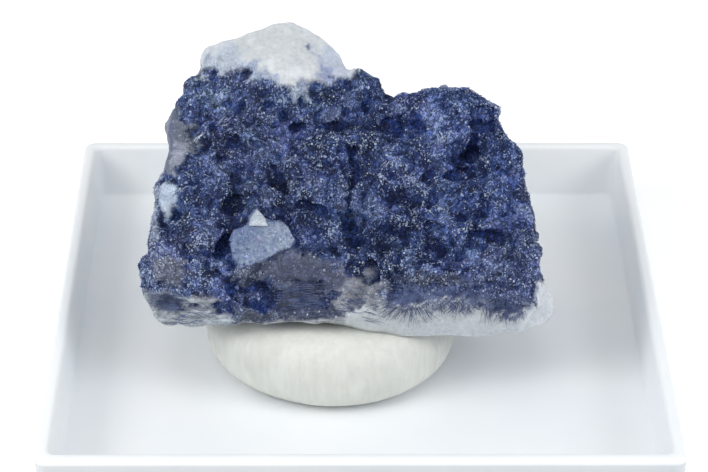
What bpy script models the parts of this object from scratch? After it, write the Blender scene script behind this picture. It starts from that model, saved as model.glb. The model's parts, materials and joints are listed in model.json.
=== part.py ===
"""A dumortierite-in-quartz specimen, fixed with putty in the open base of a small display box.

The part stands on its tray: X to the right, Y away from the viewer, Z up, origin under the middle of the tray.
The stone is worked in millimetres in a face frame of its own: x to the right, u up its face, n out of its face.
That frame leans back by FACE_LEAN, so that the face looks up and forward, as the stone is displayed.
"""
import math

import bmesh
import bpy
import numpy as np
from mathutils import Matrix, Vector, noise

# Scale of the working units: everything is drawn in millimetres and scaled at the end
MM = 0.001

# Display tray
TRAY_WIDTH = 51.0
TRAY_HEIGHT = 6.2
TRAY_WALL = 1.1
TRAY_FLOOR = 1.2
TRAY_DRAFT = 0.3
TRAY_OUTER_RADIUS = 0.9
TRAY_INNER_RADIUS = 0.7
TRAY_EDGE = 0.25

# Putty pad
PAD_CENTRE = (-2.3, -1.8)
PAD_RADIUS = 10.8
PAD_HEIGHT = 5.7
PAD_SQUARENESS = 2.6
PAD_WAVE = 0.25

# Air left between pieces that rest on each other
REST_GAP = 0.3

# Stone: where its face frame sits in the tray, and how far it leans back
FACE_LEAN = math.radians(31.0)
FACE_CENTRE = (-0.6, -1.4, 16.0)
STONE_UNDERSIDE = TRAY_FLOOR + REST_GAP + PAD_HEIGHT + REST_GAP

# Resolution of the sculpting and of the finished stone
VOXEL = 0.3
STONE_TRIANGLES = 7600

# Front outline of the blue mass, seen square to the face (x, u)
FRONT_OUTLINE = (
    (-12.4, 10.5), (-9.0, 11.0), (-1.2, 10.4), (0.2, 10.5), (1.2, 10.4), (2.2, 9.6), (2.5, 8.3),
    (3.4, 8.2), (5.8, 8.8), (8.5, 9.3), (9.9, 8.8), (11.1, 8.1), (12.1, 6.9), (12.2, 6.1),
    (13.2, 5.0), (14.0, 3.3), (14.3, 1.1), (14.9, -0.9), (15.4, -4.2), (15.7, -7.0), (15.3, -9.3),
    (14.8, -11.0), (10.8, -11.6), (4.2, -11.7), (-0.8, -11.2), (-4.2, -10.9), (-9.2, -10.9), (-14.2, -11.2),
    (-15.6, -10.8), (-16.5, -9.4), (-17.5, -7.5), (-17.7, -5.8), (-16.9, -3.4), (-16.3, -0.8), (-16.5, 0.4),
    (-15.9, 1.7), (-15.2, 2.9), (-15.3, 5.8), (-14.6, 7.7),
)
# The outline is drawn as it is seen from this distance, and the sides draw in behind the face
VIEWING_DISTANCE = 235.0
FRONT_DEPTH = 9.0
SIDE_START = 1.5
BACK_DEPTH = -18.0
BACK_SCALE = 0.84

# Side profile of the whole stone in the tray's frame (y, z), measured from the underside
SIDE_PROFILE = (
    (-9.4, 0.2), (-10.7, 4.2), (-9.6, 5.9), (7.4, 16.2), (9.8, 14.4), (10.6, 7.5), (8.8, 0.2),
)

# Corners of the milky quartz cap (x, u, n)
CAP_CORNERS = (
    (-12.8, 10.4, -3.4), (-12.6, 11.9, -4.4), (-9.5, 13.7, -5.0), (-5.4, 15.3, -5.4), (-2.5, 13.8, -5.2),
    (-0.8, 12.1, -4.6), (-0.4, 10.0, -3.6), (-8.6, 11.2, -2.2), (-5.4, 12.4, -2.6), (-4.6, 8.6, -1.4),
    (-11.6, 4.0, -12.0), (-10.8, 11.2, -9.5), (-5.8, 13.0, -10.5), (-2.2, 10.8, -10.4), (0.4, 4.0, -12.4),
)
# Corners of the pale quartz base that shows right of and below the blue mass
BASE_CORNERS = (
    (-2.0, -10.8, 1.6), (4.2, -11.7, 2.0), (11.0, -11.7, 1.8), (15.4, -11.2, 0.8), (17.0, -10.2, -0.6),
    (17.1, -8.4, -1.4), (16.4, -7.2, -1.6), (4.0, -8.4, 3.6), (12.0, -8.6, 3.2),
    (15.4, -7.0, -7.0), (14.8, -4.0, -9.0), (10.0, -3.0, -11.5), (0.0, -3.0, -11.5), (15.0, -9.6, -5.0),
)

# Lumps of the crust: centre (x, u), half sizes (x, u), rise
LUMPS = (
    (-10.7, 9.3, 3.0, 1.6, 0.9), (-12.1, 7.7, 1.6, 1.3, 0.6), (-10.7, 5.7, 2.0, 1.3, 0.9),
    (-7.8, 4.8, 2.4, 1.6, 0.8), (-8.3, 8.5, 2.2, 1.3, 0.6), (-7.3, 2.7, 2.4, 1.2, 0.5),
    (-11.2, 2.9, 2.4, 1.5, 0.6), (-13.3, 0.8, 1.8, 1.4, 0.6), (-11.2, 0.4, 2.0, 1.2, 0.5),
    (-3.3, 0.0, 2.6, 2.0, 0.5), (-2.9, -3.3, 2.4, 2.2, 0.6), (-12.5, -2.9, 2.0, 1.6, 0.5),
    (-15.8, -5.2, 2.2, 2.6, 1.2), (-12.5, -6.2, 2.4, 1.6, 0.6), (-2.5, 4.2, 2.6, 1.4, 0.6),
    (1.3, 9.7, 1.3, 1.2, 1.2), (3.6, 6.7, 1.2, 0.9, 0.7), (6.2, 7.9, 2.2, 1.4, 0.7),
    (9.2, 8.3, 2.4, 1.4, 0.9), (12.0, 6.8, 1.1, 1.3, 1.0), (12.5, 3.7, 2.2, 2.1, 1.5),
    (8.3, 5.8, 2.2, 1.2, 0.6), (6.2, 3.7, 2.2, 1.4, 0.7), (2.9, 4.2, 1.8, 1.4, 0.6),
    (1.7, 1.2, 1.6, 1.6, 0.6), (5.0, 0.8, 2.4, 1.0, 0.7), (8.7, 0.2, 2.4, 1.0, 0.7),
    (12.9, 0.4, 1.8, 1.6, 0.6), (2.5, -1.8, 1.8, 1.2, 0.6), (6.7, -1.2, 2.2, 0.8, 0.5),
    (10.0, -2.9, 2.4, 1.1, 0.6), (5.4, -4.2, 2.2, 1.0, 0.6), (14.2, -3.3, 1.6, 2.6, 0.8),
    (2.1, -5.8, 2.2, 1.2, 0.6), (7.9, -5.7, 2.6, 1.0, 0.6), (11.7, -5.8, 2.0, 1.1, 0.5),
    (14.6, -7.7, 1.8, 1.9, 1.1), (-8.6, -9.6, 2.4, 0.7, 0.8),
)
# Pits in the crust: centre (x, u), half sizes (x, u), depth
PITS = (
    (-9.3, -0.9, 1.0, 0.7, 1.4), (-10.7, -4.0, 0.9, 0.8, 1.3), (-6.0, 1.4, 0.6, 0.9, 0.9),
    (11.2, 6.5, 0.7, 0.6, 1.1), (9.4, 3.1, 1.0, 1.2, 1.6), (8.3, 1.7, 1.0, 0.6, 1.0),
    (0.0, -2.7, 0.6, 1.2, 1.2), (-14.6, -1.3, 0.5, 1.2, 0.8), (-4.9, 5.0, 0.5, 0.6, 0.7),
    (-0.2, 6.9, 1.5, 0.9, 0.8), (-2.5, 6.7, 1.7, 0.8, 0.8), (-5.4, 6.9, 1.3, 0.6, 0.7),
    (-11.8, 6.8, 0.8, 0.4, 0.6), (6.6, -4.2, 0.9, 0.4, 0.7), (4.3, -3.0, 1.0, 0.4, 0.6),
    (-8.3, -7.8, 2.0, 0.9, 1.0), (-3.9, -7.7, 1.7, 0.7, 0.8), (7.5, -1.9, 1.8, 0.4, 0.6),
)
# Grooves in the crust: from (x, u) to (x, u), half width, depth
GROOVES = (
    (-0.4, 4.4, -0.2, -3.8, 0.45, 0.9), (-5.0, 5.9, 3.3, 5.7, 0.4, 0.7), (3.1, 6.0, 5.5, 6.1, 0.35, 0.7),
    (3.0, -0.5, 11.0, -0.8, 0.35, 0.5), (3.0, -3.2, 12.5, -3.9, 0.35, 0.5), (4.0, -5.0, 14.0, -5.0, 0.35, 0.4),
    (-13.6, 4.3, -9.0, 4.2, 0.35, 0.5), (-12.5, 2.0, -6.5, 1.9, 0.35, 0.4), (-9.5, -5.9, -13.5, -4.4, 0.4, 0.4),
)
# Flat breaks across the front edge: centre (x, u), half sizes (x, u), depth at the centre, slope along x and u
CHIPS = (
    (-4.2, -7.4, 4.6, 3.0, 4.3, 0.06, 0.27), (-0.6, -7.0, 2.6, 2.4, 4.5, -0.10, 0.22),
    (-13.4, -9.8, 4.0, 1.5, 3.5, 0.10, 0.35),
)
CHIP_CALM = 0.65
CHIP_EDGE = 0.5

# The large pale-blue crystal that lies on the face: its flat top seen square on (x, u)
TABLET_OUTLINE = (
    (-9.9, -3.3), (-9.1, -2.4), (-8.2, -2.1), (-6.4, -2.2), (-5.2, -2.6),
    (-4.8, -3.7), (-6.4, -4.8), (-8.6, -5.3), (-9.5, -4.7),
)
TABLET_PROUD = 1.0
TABLET_ROOT = 2.2
TABLET_SPREAD = 1.12
TABLET_TILT = 0.12
# The small clear crystal above it: outline (x, u) at its root, and its tip (x, u, height above the face)
POINT_OUTLINE = ((-8.5, -2.2), (-8.2, -1.2), (-7.5, -0.8), (-6.9, -1.4), (-6.7, -2.3))
POINT_TIP = (-7.7, -1.5, 1.5)
POINT_ROOT = 1.2

# Roughness of the sculpted surface
CRUST_CELL = 2.1
CRUST_RISE = 0.38
CRUST_GRAIN = 0.9
CRUST_GRAIN_RISE = 0.14
WANDER_CELL = 2.4
WANDER = 0.5
QUARTZ_WAVE = 3.6
QUARTZ_RISE = 0.22
BREAK_CELL = 5.0
BREAK_TILT = 0.55


def clear_scene():
    """Remove whatever the open file holds."""
    for leftover in list(bpy.data.objects):
        bpy.data.objects.remove(leftover, do_unlink=True)


def make_material(name, colour, roughness):
    """Return a Principled material of one colour and roughness, not metallic."""
    material = bpy.data.materials.new(name)
    material.use_nodes = True
    shader = material.node_tree.nodes["Principled BSDF"]
    shader.inputs["Base Color"].default_value = (*colour, 1.0)
    shader.inputs["Roughness"].default_value = roughness
    shader.inputs["Metallic"].default_value = 0.0
    material.diffuse_color = (*colour, 1.0)
    return material


def make_object(name, mesh):
    """Link a mesh into the scene as a named object."""
    placed = bpy.data.objects.new(name, mesh)
    bpy.context.scene.collection.objects.link(placed)
    return placed


def object_from_bmesh(name, shape):
    """Turn a bmesh into a linked object with its faces pointing out."""
    bmesh.ops.recalc_face_normals(shape, faces=shape.faces)
    mesh = bpy.data.meshes.new(name)
    shape.to_mesh(mesh)
    shape.free()
    return make_object(name, mesh)


def finish(piece, material):
    """Give a piece its material and bring it from millimetres to metres."""
    piece.data.materials.clear()
    piece.data.materials.append(material)
    piece.data.transform(Matrix.Scale(MM, 4))
    piece.data.update()
    return piece


def bake_modifiers(piece):
    """Replace a piece's mesh by what its modifiers make of it."""
    graph = bpy.context.evaluated_depsgraph_get()
    graph.update()
    baked = bpy.data.meshes.new_from_object(piece.evaluated_get(graph))
    piece.modifiers.clear()
    piece.data = baked
    return piece


def rounded_square(shape, half, radius, height, steps=5):
    """Add a ring of vertices round a square with rounded corners, at one height."""
    ring = []
    for corner in range(4):
        turn = math.radians(90.0 * corner)
        middle = Matrix.Rotation(turn, 3, "Z") @ Vector((half - radius, half - radius, height))
        for step in range(steps + 1):
            angle = turn + math.radians(90.0) * step / steps
            ring.append(shape.verts.new(middle + radius * Vector((math.cos(angle), math.sin(angle), 0.0))))
    return ring


def bridge(shape, lower, upper):
    """Join two rings of the same count by a band of faces."""
    count = len(lower)
    for place in range(count):
        following = (place + 1) % count
        shape.faces.new((lower[place], lower[following], upper[following], upper[place]))


def build_tray():
    """Build the lidless box base: floor, four drafted walls and softly rounded rims."""
    half = TRAY_WIDTH / 2
    inner = half - TRAY_WALL
    drafted = inner - TRAY_DRAFT
    rings = (
        (half - TRAY_DRAFT - TRAY_EDGE, TRAY_OUTER_RADIUS, 0.0),
        (half - TRAY_DRAFT, TRAY_OUTER_RADIUS, TRAY_EDGE),
        (half, TRAY_OUTER_RADIUS, TRAY_HEIGHT - TRAY_EDGE),
        (half - TRAY_EDGE, TRAY_OUTER_RADIUS, TRAY_HEIGHT),
        (inner + TRAY_EDGE, TRAY_INNER_RADIUS + TRAY_EDGE, TRAY_HEIGHT),
        (inner, TRAY_INNER_RADIUS, TRAY_HEIGHT - TRAY_EDGE),
        (drafted, TRAY_INNER_RADIUS, TRAY_FLOOR + TRAY_EDGE),
        (drafted - TRAY_EDGE, TRAY_INNER_RADIUS, TRAY_FLOOR),
    )
    shape = bmesh.new()
    made = [rounded_square(shape, *ring) for ring in rings]
    for lower, upper in zip(made, made[1:]):
        bridge(shape, lower, upper)
    shape.faces.new(made[0])
    shape.faces.new(made[-1])
    tray = object_from_bmesh("display_tray", shape)
    return finish(tray, make_material("white_plastic", (0.86, 0.87, 0.88), 0.35))


def pad_point(angle, climb):
    """Return a point of the pad's skin: climb runs from -1 at its foot to 1 at its top."""
    reach = (1.0 - abs(climb) ** PAD_SQUARENESS) ** (1.0 / PAD_SQUARENESS)
    edge = PAD_HEIGHT / 2
    radius = PAD_RADIUS - edge * (1.0 - reach)
    radius += PAD_WAVE * noise.noise(Vector((math.cos(angle) * 1.4, math.sin(angle) * 1.4, climb * 0.8)))
    height = TRAY_FLOOR + REST_GAP + edge * (1.0 + climb)
    return Vector((PAD_CENTRE[0] + radius * math.cos(angle), PAD_CENTRE[1] + radius * math.sin(angle), height))


def build_pad(turns=44, rows=8):
    """Build the putty pad: a ball of putty pressed flat, with a bulging edge."""
    shape = bmesh.new()
    rings = []
    for row in range(rows + 1):
        climb = -math.cos(math.pi * row / rows)
        ring = [pad_point(math.tau * turn / turns, climb) for turn in range(turns)]
        rings.append([shape.verts.new(point) for point in ring])
    for lower, upper in zip(rings, rings[1:]):
        bridge(shape, lower, upper)
    shape.faces.new(rings[0])
    shape.faces.new(rings[-1])
    pad = object_from_bmesh("mineral_tack", shape)
    return finish(pad, make_material("putty", (0.78, 0.76, 0.70), 0.85))


def face_frame():
    """Return the matrix that takes the stone's face frame (x, u, n) to the tray's frame."""
    up_face = Vector((0.0, math.sin(FACE_LEAN), math.cos(FACE_LEAN)))
    out_face = Vector((0.0, -math.cos(FACE_LEAN), math.sin(FACE_LEAN)))
    turn = Matrix((Vector((1.0, 0.0, 0.0)), up_face, out_face)).transposed().to_4x4()
    return Matrix.Translation(FACE_CENTRE) @ turn


def face_depth(up):
    """Return how far out of the face frame the blue face lies at a height u up the face."""
    inverse = face_frame().inverted()
    low, high = (inverse @ Vector((0.0, y, z + STONE_UNDERSIDE)) for y, z in SIDE_PROFILE[2:4])
    return low.z + (high.z - low.z) * (up - low.y) / (high.y - low.y)


def loft(name, *sections):
    """Build a solid through two or more rings of points of the same count."""
    shape = bmesh.new()
    rings = [[shape.verts.new(point) for point in section] for section in sections]
    for near, far in zip(rings, rings[1:]):
        bridge(shape, near, far)
    shape.faces.new(rings[0])
    shape.faces.new(rings[-1])
    bmesh.ops.triangulate(shape, faces=shape.faces[:])
    return object_from_bmesh(name, shape)


def hull(name, corners):
    """Build the flat-faced solid that a set of corners spans."""
    shape = bmesh.new()
    for corner in corners:
        shape.verts.new(corner)
    spanned = bmesh.ops.convex_hull(shape, input=shape.verts[:])
    inside = {item for item in spanned["geom_interior"] if isinstance(item, bmesh.types.BMVert)}
    bmesh.ops.delete(shape, geom=list(inside), context="VERTS")
    return object_from_bmesh(name, shape)


def combine(piece, other, operation):
    """Join or intersect a piece with another one, which is used up."""
    boolean = piece.modifiers.new("combine", "BOOLEAN")
    boolean.operation = operation
    boolean.solver = "EXACT"
    boolean.object = other
    bake_modifiers(piece)
    bpy.data.objects.remove(other, do_unlink=True)
    return piece


def shells_of(shape):
    """Return a bmesh's separate shells, each as a list of faces."""
    waiting = set(shape.faces)
    shells = []
    while waiting:
        shell = [waiting.pop()]
        for face in shell:
            touching = {other for edge in face.edges for other in edge.link_faces} & waiting
            shell.extend(touching)
            waiting -= touching
        shells.append(shell)
    return shells


def keep_outer_skin(piece):
    """Delete every shell of a piece but its largest, such as a bubble closed off inside it."""
    shape = bmesh.new()
    shape.from_mesh(piece.data)
    shells = sorted(shells_of(shape), key=len)
    bmesh.ops.delete(shape, geom=[face for shell in shells[:-1] for face in shell], context="FACES")
    shape.to_mesh(piece.data)
    shape.free()
    return piece


def remesh(piece):
    """Melt overlapping shells into one evenly meshed skin."""
    modifier = piece.modifiers.new("remesh", "REMESH")
    modifier.mode = "VOXEL"
    modifier.voxel_size = VOXEL
    return keep_outer_skin(bake_modifiers(piece))


def seen_point(x, u, depth):
    """Return the point at a depth that shows at (x, u) of the front outline."""
    nearness = 1.0 - depth / VIEWING_DISTANCE
    return Vector((x * nearness, u * nearness, depth))


def rough_stone():
    """Block out the stone in its face frame: core, milky cap and pale base."""
    front = [seen_point(x, u, FRONT_DEPTH) for x, u in FRONT_OUTLINE]
    face = [seen_point(x, u, face_depth(u) - SIDE_START) for x, u in FRONT_OUTLINE]
    back = [Vector((x * BACK_SCALE, u * BACK_SCALE, BACK_DEPTH)) for x, u in FRONT_OUTLINE]
    stone = loft("dumortierite_specimen", front, face, back)
    to_face = face_frame().inverted()
    sides = [
        [to_face @ Vector((x, y, z + STONE_UNDERSIDE)) for y, z in SIDE_PROFILE]
        for x in (-TRAY_WIDTH / 2, TRAY_WIDTH / 2)
    ]
    combine(stone, loft("side_profile", *sides), "INTERSECT")
    combine(stone, hull("milky_cap", CAP_CORNERS), "UNION")
    combine(stone, hull("pale_base", BASE_CORNERS), "UNION")
    return remesh(stone)


def smooth_step(low, high, values):
    """Rise smoothly from 0 at low to 1 at high."""
    share = np.clip((values - low) / (high - low), 0.0, 1.0)
    return share * share * (3.0 - 2.0 * share)


def read_vertices(mesh):
    """Return a mesh's vertex positions and normals as two arrays."""
    places = np.empty(len(mesh.vertices) * 3)
    normals = np.empty(len(mesh.vertices) * 3)
    mesh.vertices.foreach_get("co", places)
    mesh.vertices.foreach_get("normal", normals)
    return places.reshape(-1, 3), normals.reshape(-1, 3)


def write_vertices(mesh, places):
    """Put moved vertex positions back into a mesh."""
    mesh.vertices.foreach_set("co", places.ravel())
    mesh.update()


def ellipse_reach(places, centre_x, centre_u, half_x, half_u):
    """Return each point's squared distance from a spot, in the spot's own half sizes."""
    return ((places[:, 0] - centre_x) / half_x) ** 2 + ((places[:, 1] - centre_u) / half_u) ** 2


def groove_distance(places, start_x, start_u, end_x, end_u):
    """Return each point's distance from a groove's line, seen square to the face."""
    start = np.array((start_x, start_u))
    run = np.array((end_x, end_u)) - start
    along = np.clip((places[:, :2] - start) @ run / (run @ run), 0.0, 1.0)
    return np.linalg.norm(places[:, :2] - start - along[:, None] * run, axis=1)


def face_relief(places):
    """Return how far the crust's lumps, pits and grooves move each point out of the face."""
    relief = np.zeros(len(places))
    for centre_x, centre_u, half_x, half_u, rise in LUMPS:
        share = np.clip(1.0 - ellipse_reach(places, centre_x, centre_u, half_x, half_u), 0.0, 1.0)
        relief = np.maximum(relief, rise * share ** 0.7)
    for centre_x, centre_u, half_x, half_u, depth in PITS:
        relief -= depth * np.exp(-1.4 * ellipse_reach(places, centre_x, centre_u, half_x, half_u))
    for start_x, start_u, end_x, end_u, half_width, depth in GROOVES:
        distance = groove_distance(places, start_x, start_u, end_x, end_u)
        relief -= depth * np.exp(-((distance / half_width) ** 2))
    return relief


def quartz_share(places):
    """Return how much of each point is bare quartz: the cap, the base and the fin beside it."""
    cap = smooth_step(9.6, 10.6, places[:, 1]) * smooth_step(0.6, -0.8, places[:, 0])
    base_line = -8.9 + 0.25 * np.sin(places[:, 0] * 1.3)
    base = smooth_step(base_line + 0.5, base_line - 0.5, places[:, 1]) * smooth_step(-3.0, 0.5, places[:, 0])
    fin = smooth_step(15.9, 16.5, places[:, 0]) * smooth_step(-6.0, -7.4, places[:, 1])
    return np.clip(cap + base + fin, 0.0, 1.0)


def cell_bump(place, cell):
    """Return the rounded bump, 0 to 1, of the noise cell that a place lies in."""
    nearest = noise.voronoi(Vector(place) / cell)[0][0]
    return max(0.0, 1.0 - (nearest / 0.75) ** 2)


def break_facet(place):
    """Return the height of the flat break face, tilted its own way, that a place lies on."""
    _, centres = noise.voronoi(Vector(place) / BREAK_CELL)
    offset = Vector(place) / BREAK_CELL - centres[0]
    return BREAK_TILT * noise.cell_vector(centres[0] * 7.0).dot(offset) * BREAK_CELL / 2


def surface_noise(places, quartz, back):
    """Return the fine relief of each point: round crust, wavy quartz, broken sides and back."""
    fine = np.empty(len(places))
    for index, place in enumerate(places):
        spot = Vector(place)
        crust = CRUST_RISE * cell_bump(place, CRUST_CELL) + CRUST_GRAIN_RISE * noise.noise(spot / CRUST_GRAIN)
        wave = QUARTZ_RISE * noise.noise(spot / QUARTZ_WAVE)
        front = crust * (1.0 - quartz[index]) + wave * quartz[index]
        fine[index] = front * (1.0 - back[index]) + (break_facet(place) + wave) * back[index]
    return fine


def chipped_away(places):
    """Return how far the flat breaks cut each point of the front edge back."""
    lost = np.zeros(len(places))
    for centre_x, centre_u, half_x, half_u, depth, slope_x, slope_u in CHIPS:
        flat = depth + slope_x * (places[:, 0] - centre_x) + slope_u * (places[:, 1] - centre_u)
        inside = smooth_step(1.25, 0.8, ellipse_reach(places, centre_x, centre_u, half_x, half_u))
        lost = np.maximum(lost, np.maximum(places[:, 2] - flat, 0.0) * inside)
    return lost


def wandered(places):
    """Return the places shifted a little to and fro, so that drawn lines and spots turn irregular."""
    shifts = [noise.noise_vector(Vector(place) / WANDER_CELL) for place in places]
    return places + WANDER * np.array(shifts)


def sculpt(stone):
    """Give the blocked-out stone its crust, pits, grooves and broken back."""
    places, normals = read_vertices(stone.data)
    facing = smooth_step(0.1, 0.5, normals[:, 2])
    back = smooth_step(0.05, -0.35, normals[:, 2])
    quartz = quartz_share(places)
    moved = places + normals * surface_noise(places, quartz, back)[:, None]
    drawn = wandered(places)
    lost = chipped_away(np.column_stack((drawn[:, :2], places[:, 2])))
    crusted = (1.0 - quartz) * (1.0 - CHIP_CALM * smooth_step(0.0, CHIP_EDGE, lost))
    moved[:, 2] += (face_relief(drawn) * crusted - lost) * facing
    write_vertices(stone.data, moved)
    return remesh(stone)


def add_crystals(stone):
    """Grow the tablet crystal and the small pointed crystal out of the blue face."""
    middle_x = sum(x for x, _ in TABLET_OUTLINE) / len(TABLET_OUTLINE)
    middle_u = sum(u for _, u in TABLET_OUTLINE) / len(TABLET_OUTLINE)
    depth = face_depth(middle_u)
    top = [Vector((x, u, depth + TABLET_PROUD + TABLET_TILT * (middle_x - x))) for x, u in TABLET_OUTLINE]
    root = [
        Vector((
            middle_x + TABLET_SPREAD * (x - middle_x),
            middle_u + TABLET_SPREAD * (u - middle_u),
            depth - TABLET_ROOT,
        ))
        for x, u in TABLET_OUTLINE
    ]
    combine(stone, hull("tablet_crystal", top + root), "UNION")
    tip_x, tip_u, tip_rise = POINT_TIP
    depth = face_depth(tip_u)
    point = [Vector((x, u, depth + 0.4)) for x, u in POINT_OUTLINE]
    point += [Vector((x, u, depth - POINT_ROOT)) for x, u in POINT_OUTLINE]
    point.append(Vector((tip_x, tip_u, depth + tip_rise)))
    combine(stone, hull("pointed_crystal", point), "UNION")
    return stone


def thin_out(stone):
    """Bring the stone down to its count of triangles, keeping its lumps and edges."""
    decimate = stone.modifiers.new("decimate", "DECIMATE")
    decimate.ratio = STONE_TRIANGLES / (2.0 * len(stone.data.polygons))
    decimate.use_collapse_triangulate = True
    return bake_modifiers(stone)


def flatten_underside(stone):
    """Cut the stone's underside to the plane that rests on the putty."""
    reach = TRAY_WIDTH / 2
    levels = (STONE_UNDERSIDE - reach, STONE_UNDERSIDE)
    square = ((-reach, -reach), (reach, -reach), (reach, reach), (-reach, reach))
    below = loft("below_stone", *([Vector((x, y, z)) for x, y in square] for z in levels))
    return keep_outer_skin(combine(stone, below, "DIFFERENCE"))


def build_stone():
    """Build the stone and lean it back on the putty."""
    stone = sculpt(rough_stone())
    thin_out(stone)
    add_crystals(stone)
    stone.data.transform(face_frame())
    flatten_underside(stone)
    return finish(stone, make_material("blue_stone", (0.07, 0.09, 0.26), 0.55))


def build():
    """Build the tray, the putty and the stone."""
    clear_scene()
    build_tray()
    build_pad()
    build_stone()


build()
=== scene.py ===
"""Dress a dumortierite specimen, its putty and its box base, and light them for their picture.

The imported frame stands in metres; pieces are worked in millimetres on the same axes and scaled when finished.
Places on the stone's face are picture points: x to the right and y down in the camera's view, 708 points wide.
"""

import json
import logging
import math
from dataclasses import dataclass, field
from enum import Enum

import bmesh
import bpy
import numpy as np
from mathutils import Matrix, Vector, noise
from mathutils.bvhtree import BVHTree

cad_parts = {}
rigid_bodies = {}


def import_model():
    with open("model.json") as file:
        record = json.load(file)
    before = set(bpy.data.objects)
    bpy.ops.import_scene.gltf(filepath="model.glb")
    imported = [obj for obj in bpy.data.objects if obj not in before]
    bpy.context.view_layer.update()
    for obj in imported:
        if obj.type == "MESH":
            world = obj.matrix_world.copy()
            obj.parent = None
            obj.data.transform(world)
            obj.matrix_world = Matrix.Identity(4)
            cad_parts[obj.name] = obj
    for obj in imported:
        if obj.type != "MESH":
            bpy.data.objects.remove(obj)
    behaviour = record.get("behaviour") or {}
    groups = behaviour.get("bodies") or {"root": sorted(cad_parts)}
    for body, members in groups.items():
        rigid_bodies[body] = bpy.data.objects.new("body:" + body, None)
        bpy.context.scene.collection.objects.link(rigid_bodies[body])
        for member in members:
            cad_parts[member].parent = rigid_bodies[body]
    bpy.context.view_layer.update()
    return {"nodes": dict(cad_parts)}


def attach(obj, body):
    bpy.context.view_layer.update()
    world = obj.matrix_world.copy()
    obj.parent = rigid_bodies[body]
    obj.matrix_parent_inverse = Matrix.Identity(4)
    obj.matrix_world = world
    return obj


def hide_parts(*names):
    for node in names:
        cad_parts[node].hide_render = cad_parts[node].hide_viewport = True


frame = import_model()

LOG = logging.getLogger("specimen")
BODY = "root"
MM = 0.001
PICTURE_WIDTH = 708
PICTURE_HEIGHT = 472

Colour = tuple[float, float, float]
Spot = tuple[float, float]


class Trait(Enum):
    """What is written on the stone's skin, vertex by vertex, for its finishes and its crystals."""

    TINT = "tint"
    CRUST = "crust"
    CLEAR = "clear"
    STREAK = "streak"
    # How frosted the grains are: partly their own pale colour and partly painted glints.
    FROST = "frost"
    # How deep a point lies, which drives painted shade in the hollows.
    HOLLOW = "hollow"
    # How high a point stands, which drives a painted highlight on the ridges.
    RIDGE = "ridge"
    SECTOR = "sector"
    TONE = "tone"


class Sector(Enum):
    """The parts of the stone whose crust is one piece each."""

    FRONT_LEFT = 0
    FRONT_RIGHT = 1
    FRONT_LOW = 2
    SIDES = 3
    BACK = 4


class Habit(Enum):
    """The ways a small crystal grows: length over width, the share of it that is prism, and its sides."""

    GRAIN = (1.25, 0.0, 6)
    STOUT = (1.6, 0.3, 6)
    SLIVER = (3.2, 0.0, 4)
    CHIP = (1.35, 0.0, 4)


def paint(red: float, green: float, blue: float) -> Colour:
    """Turn a colour as the eye reads it on a screen, 0 to 255, into linear light."""
    levels = [level / 255.0 for level in (red, green, blue)]
    return tuple(level / 12.92 if level <= 0.04045 else ((level + 0.055) / 1.055) ** 2.4 for level in levels)


def smooth_step(low: float, high: float, values: np.ndarray) -> np.ndarray:
    """Rise smoothly from 0 at low to 1 at high."""
    share = np.clip((values - low) / (high - low), 0.0, 1.0)
    return share * share * (3.0 - 2.0 * share)


def noise_values(places: np.ndarray, cell: float, seed: float = 0.0) -> np.ndarray:
    """Return smooth noise, about -1 to 1, at each place.

    Args:
        places: Points in millimetres.
        cell: Size of the noise's swells in millimetres.
        seed: Shifts the noise, so that two uses differ.

    Returns:
        One value for each point.
    """
    shift = Vector((seed, -seed * 0.7, seed * 0.31))
    return np.array([noise.noise(Vector(place) / cell + shift) for place in places])


def wandered(spots: np.ndarray, places: np.ndarray, cell: float, reach: float) -> np.ndarray:
    """Shift picture points to and fro by noise, so that a drawn outline turns irregular.

    Args:
        spots: Picture points, one for each place.
        places: The same points in space, in millimetres.
        cell: Size of the noise's swells in millimetres.
        reach: How far a point shifts at most, in picture points.

    Returns:
        The shifted picture points.
    """
    shifts = np.array([noise.noise_vector(Vector(place) / cell)[:2] for place in places])
    return spots + reach * shifts


def depth_inside(spots: np.ndarray, outline: tuple[Spot, ...]) -> np.ndarray:
    """Return how deep each spot lies inside a closed outline, negative outside.

    Args:
        spots: Picture points.
        outline: The outline's corners in order.

    Returns:
        One distance for each spot, in picture points.
    """
    corners = np.array(outline, dtype=float)
    edges = np.roll(corners, -1, axis=0) - corners
    reach = spots[:, None] - corners
    along = np.clip((reach * edges).sum(-1) / (edges * edges).sum(-1), 0.0, 1.0)
    nearest = np.linalg.norm(reach - along[..., None] * edges, axis=-1).min(axis=1)
    starts, ends = corners[:, 1], corners[:, 1] + edges[:, 1]
    crosses = (starts > spots[:, None, 1]) != (ends > spots[:, None, 1])
    level = np.where(edges[:, 1] == 0.0, 1.0, edges[:, 1])
    crossing = corners[:, 0] + edges[:, 0] * (spots[:, None, 1] - starts) / level
    inside = (crosses & (spots[:, None, 0] < crossing)).sum(axis=1) % 2 == 1
    return np.where(inside, nearest, -nearest)


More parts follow.
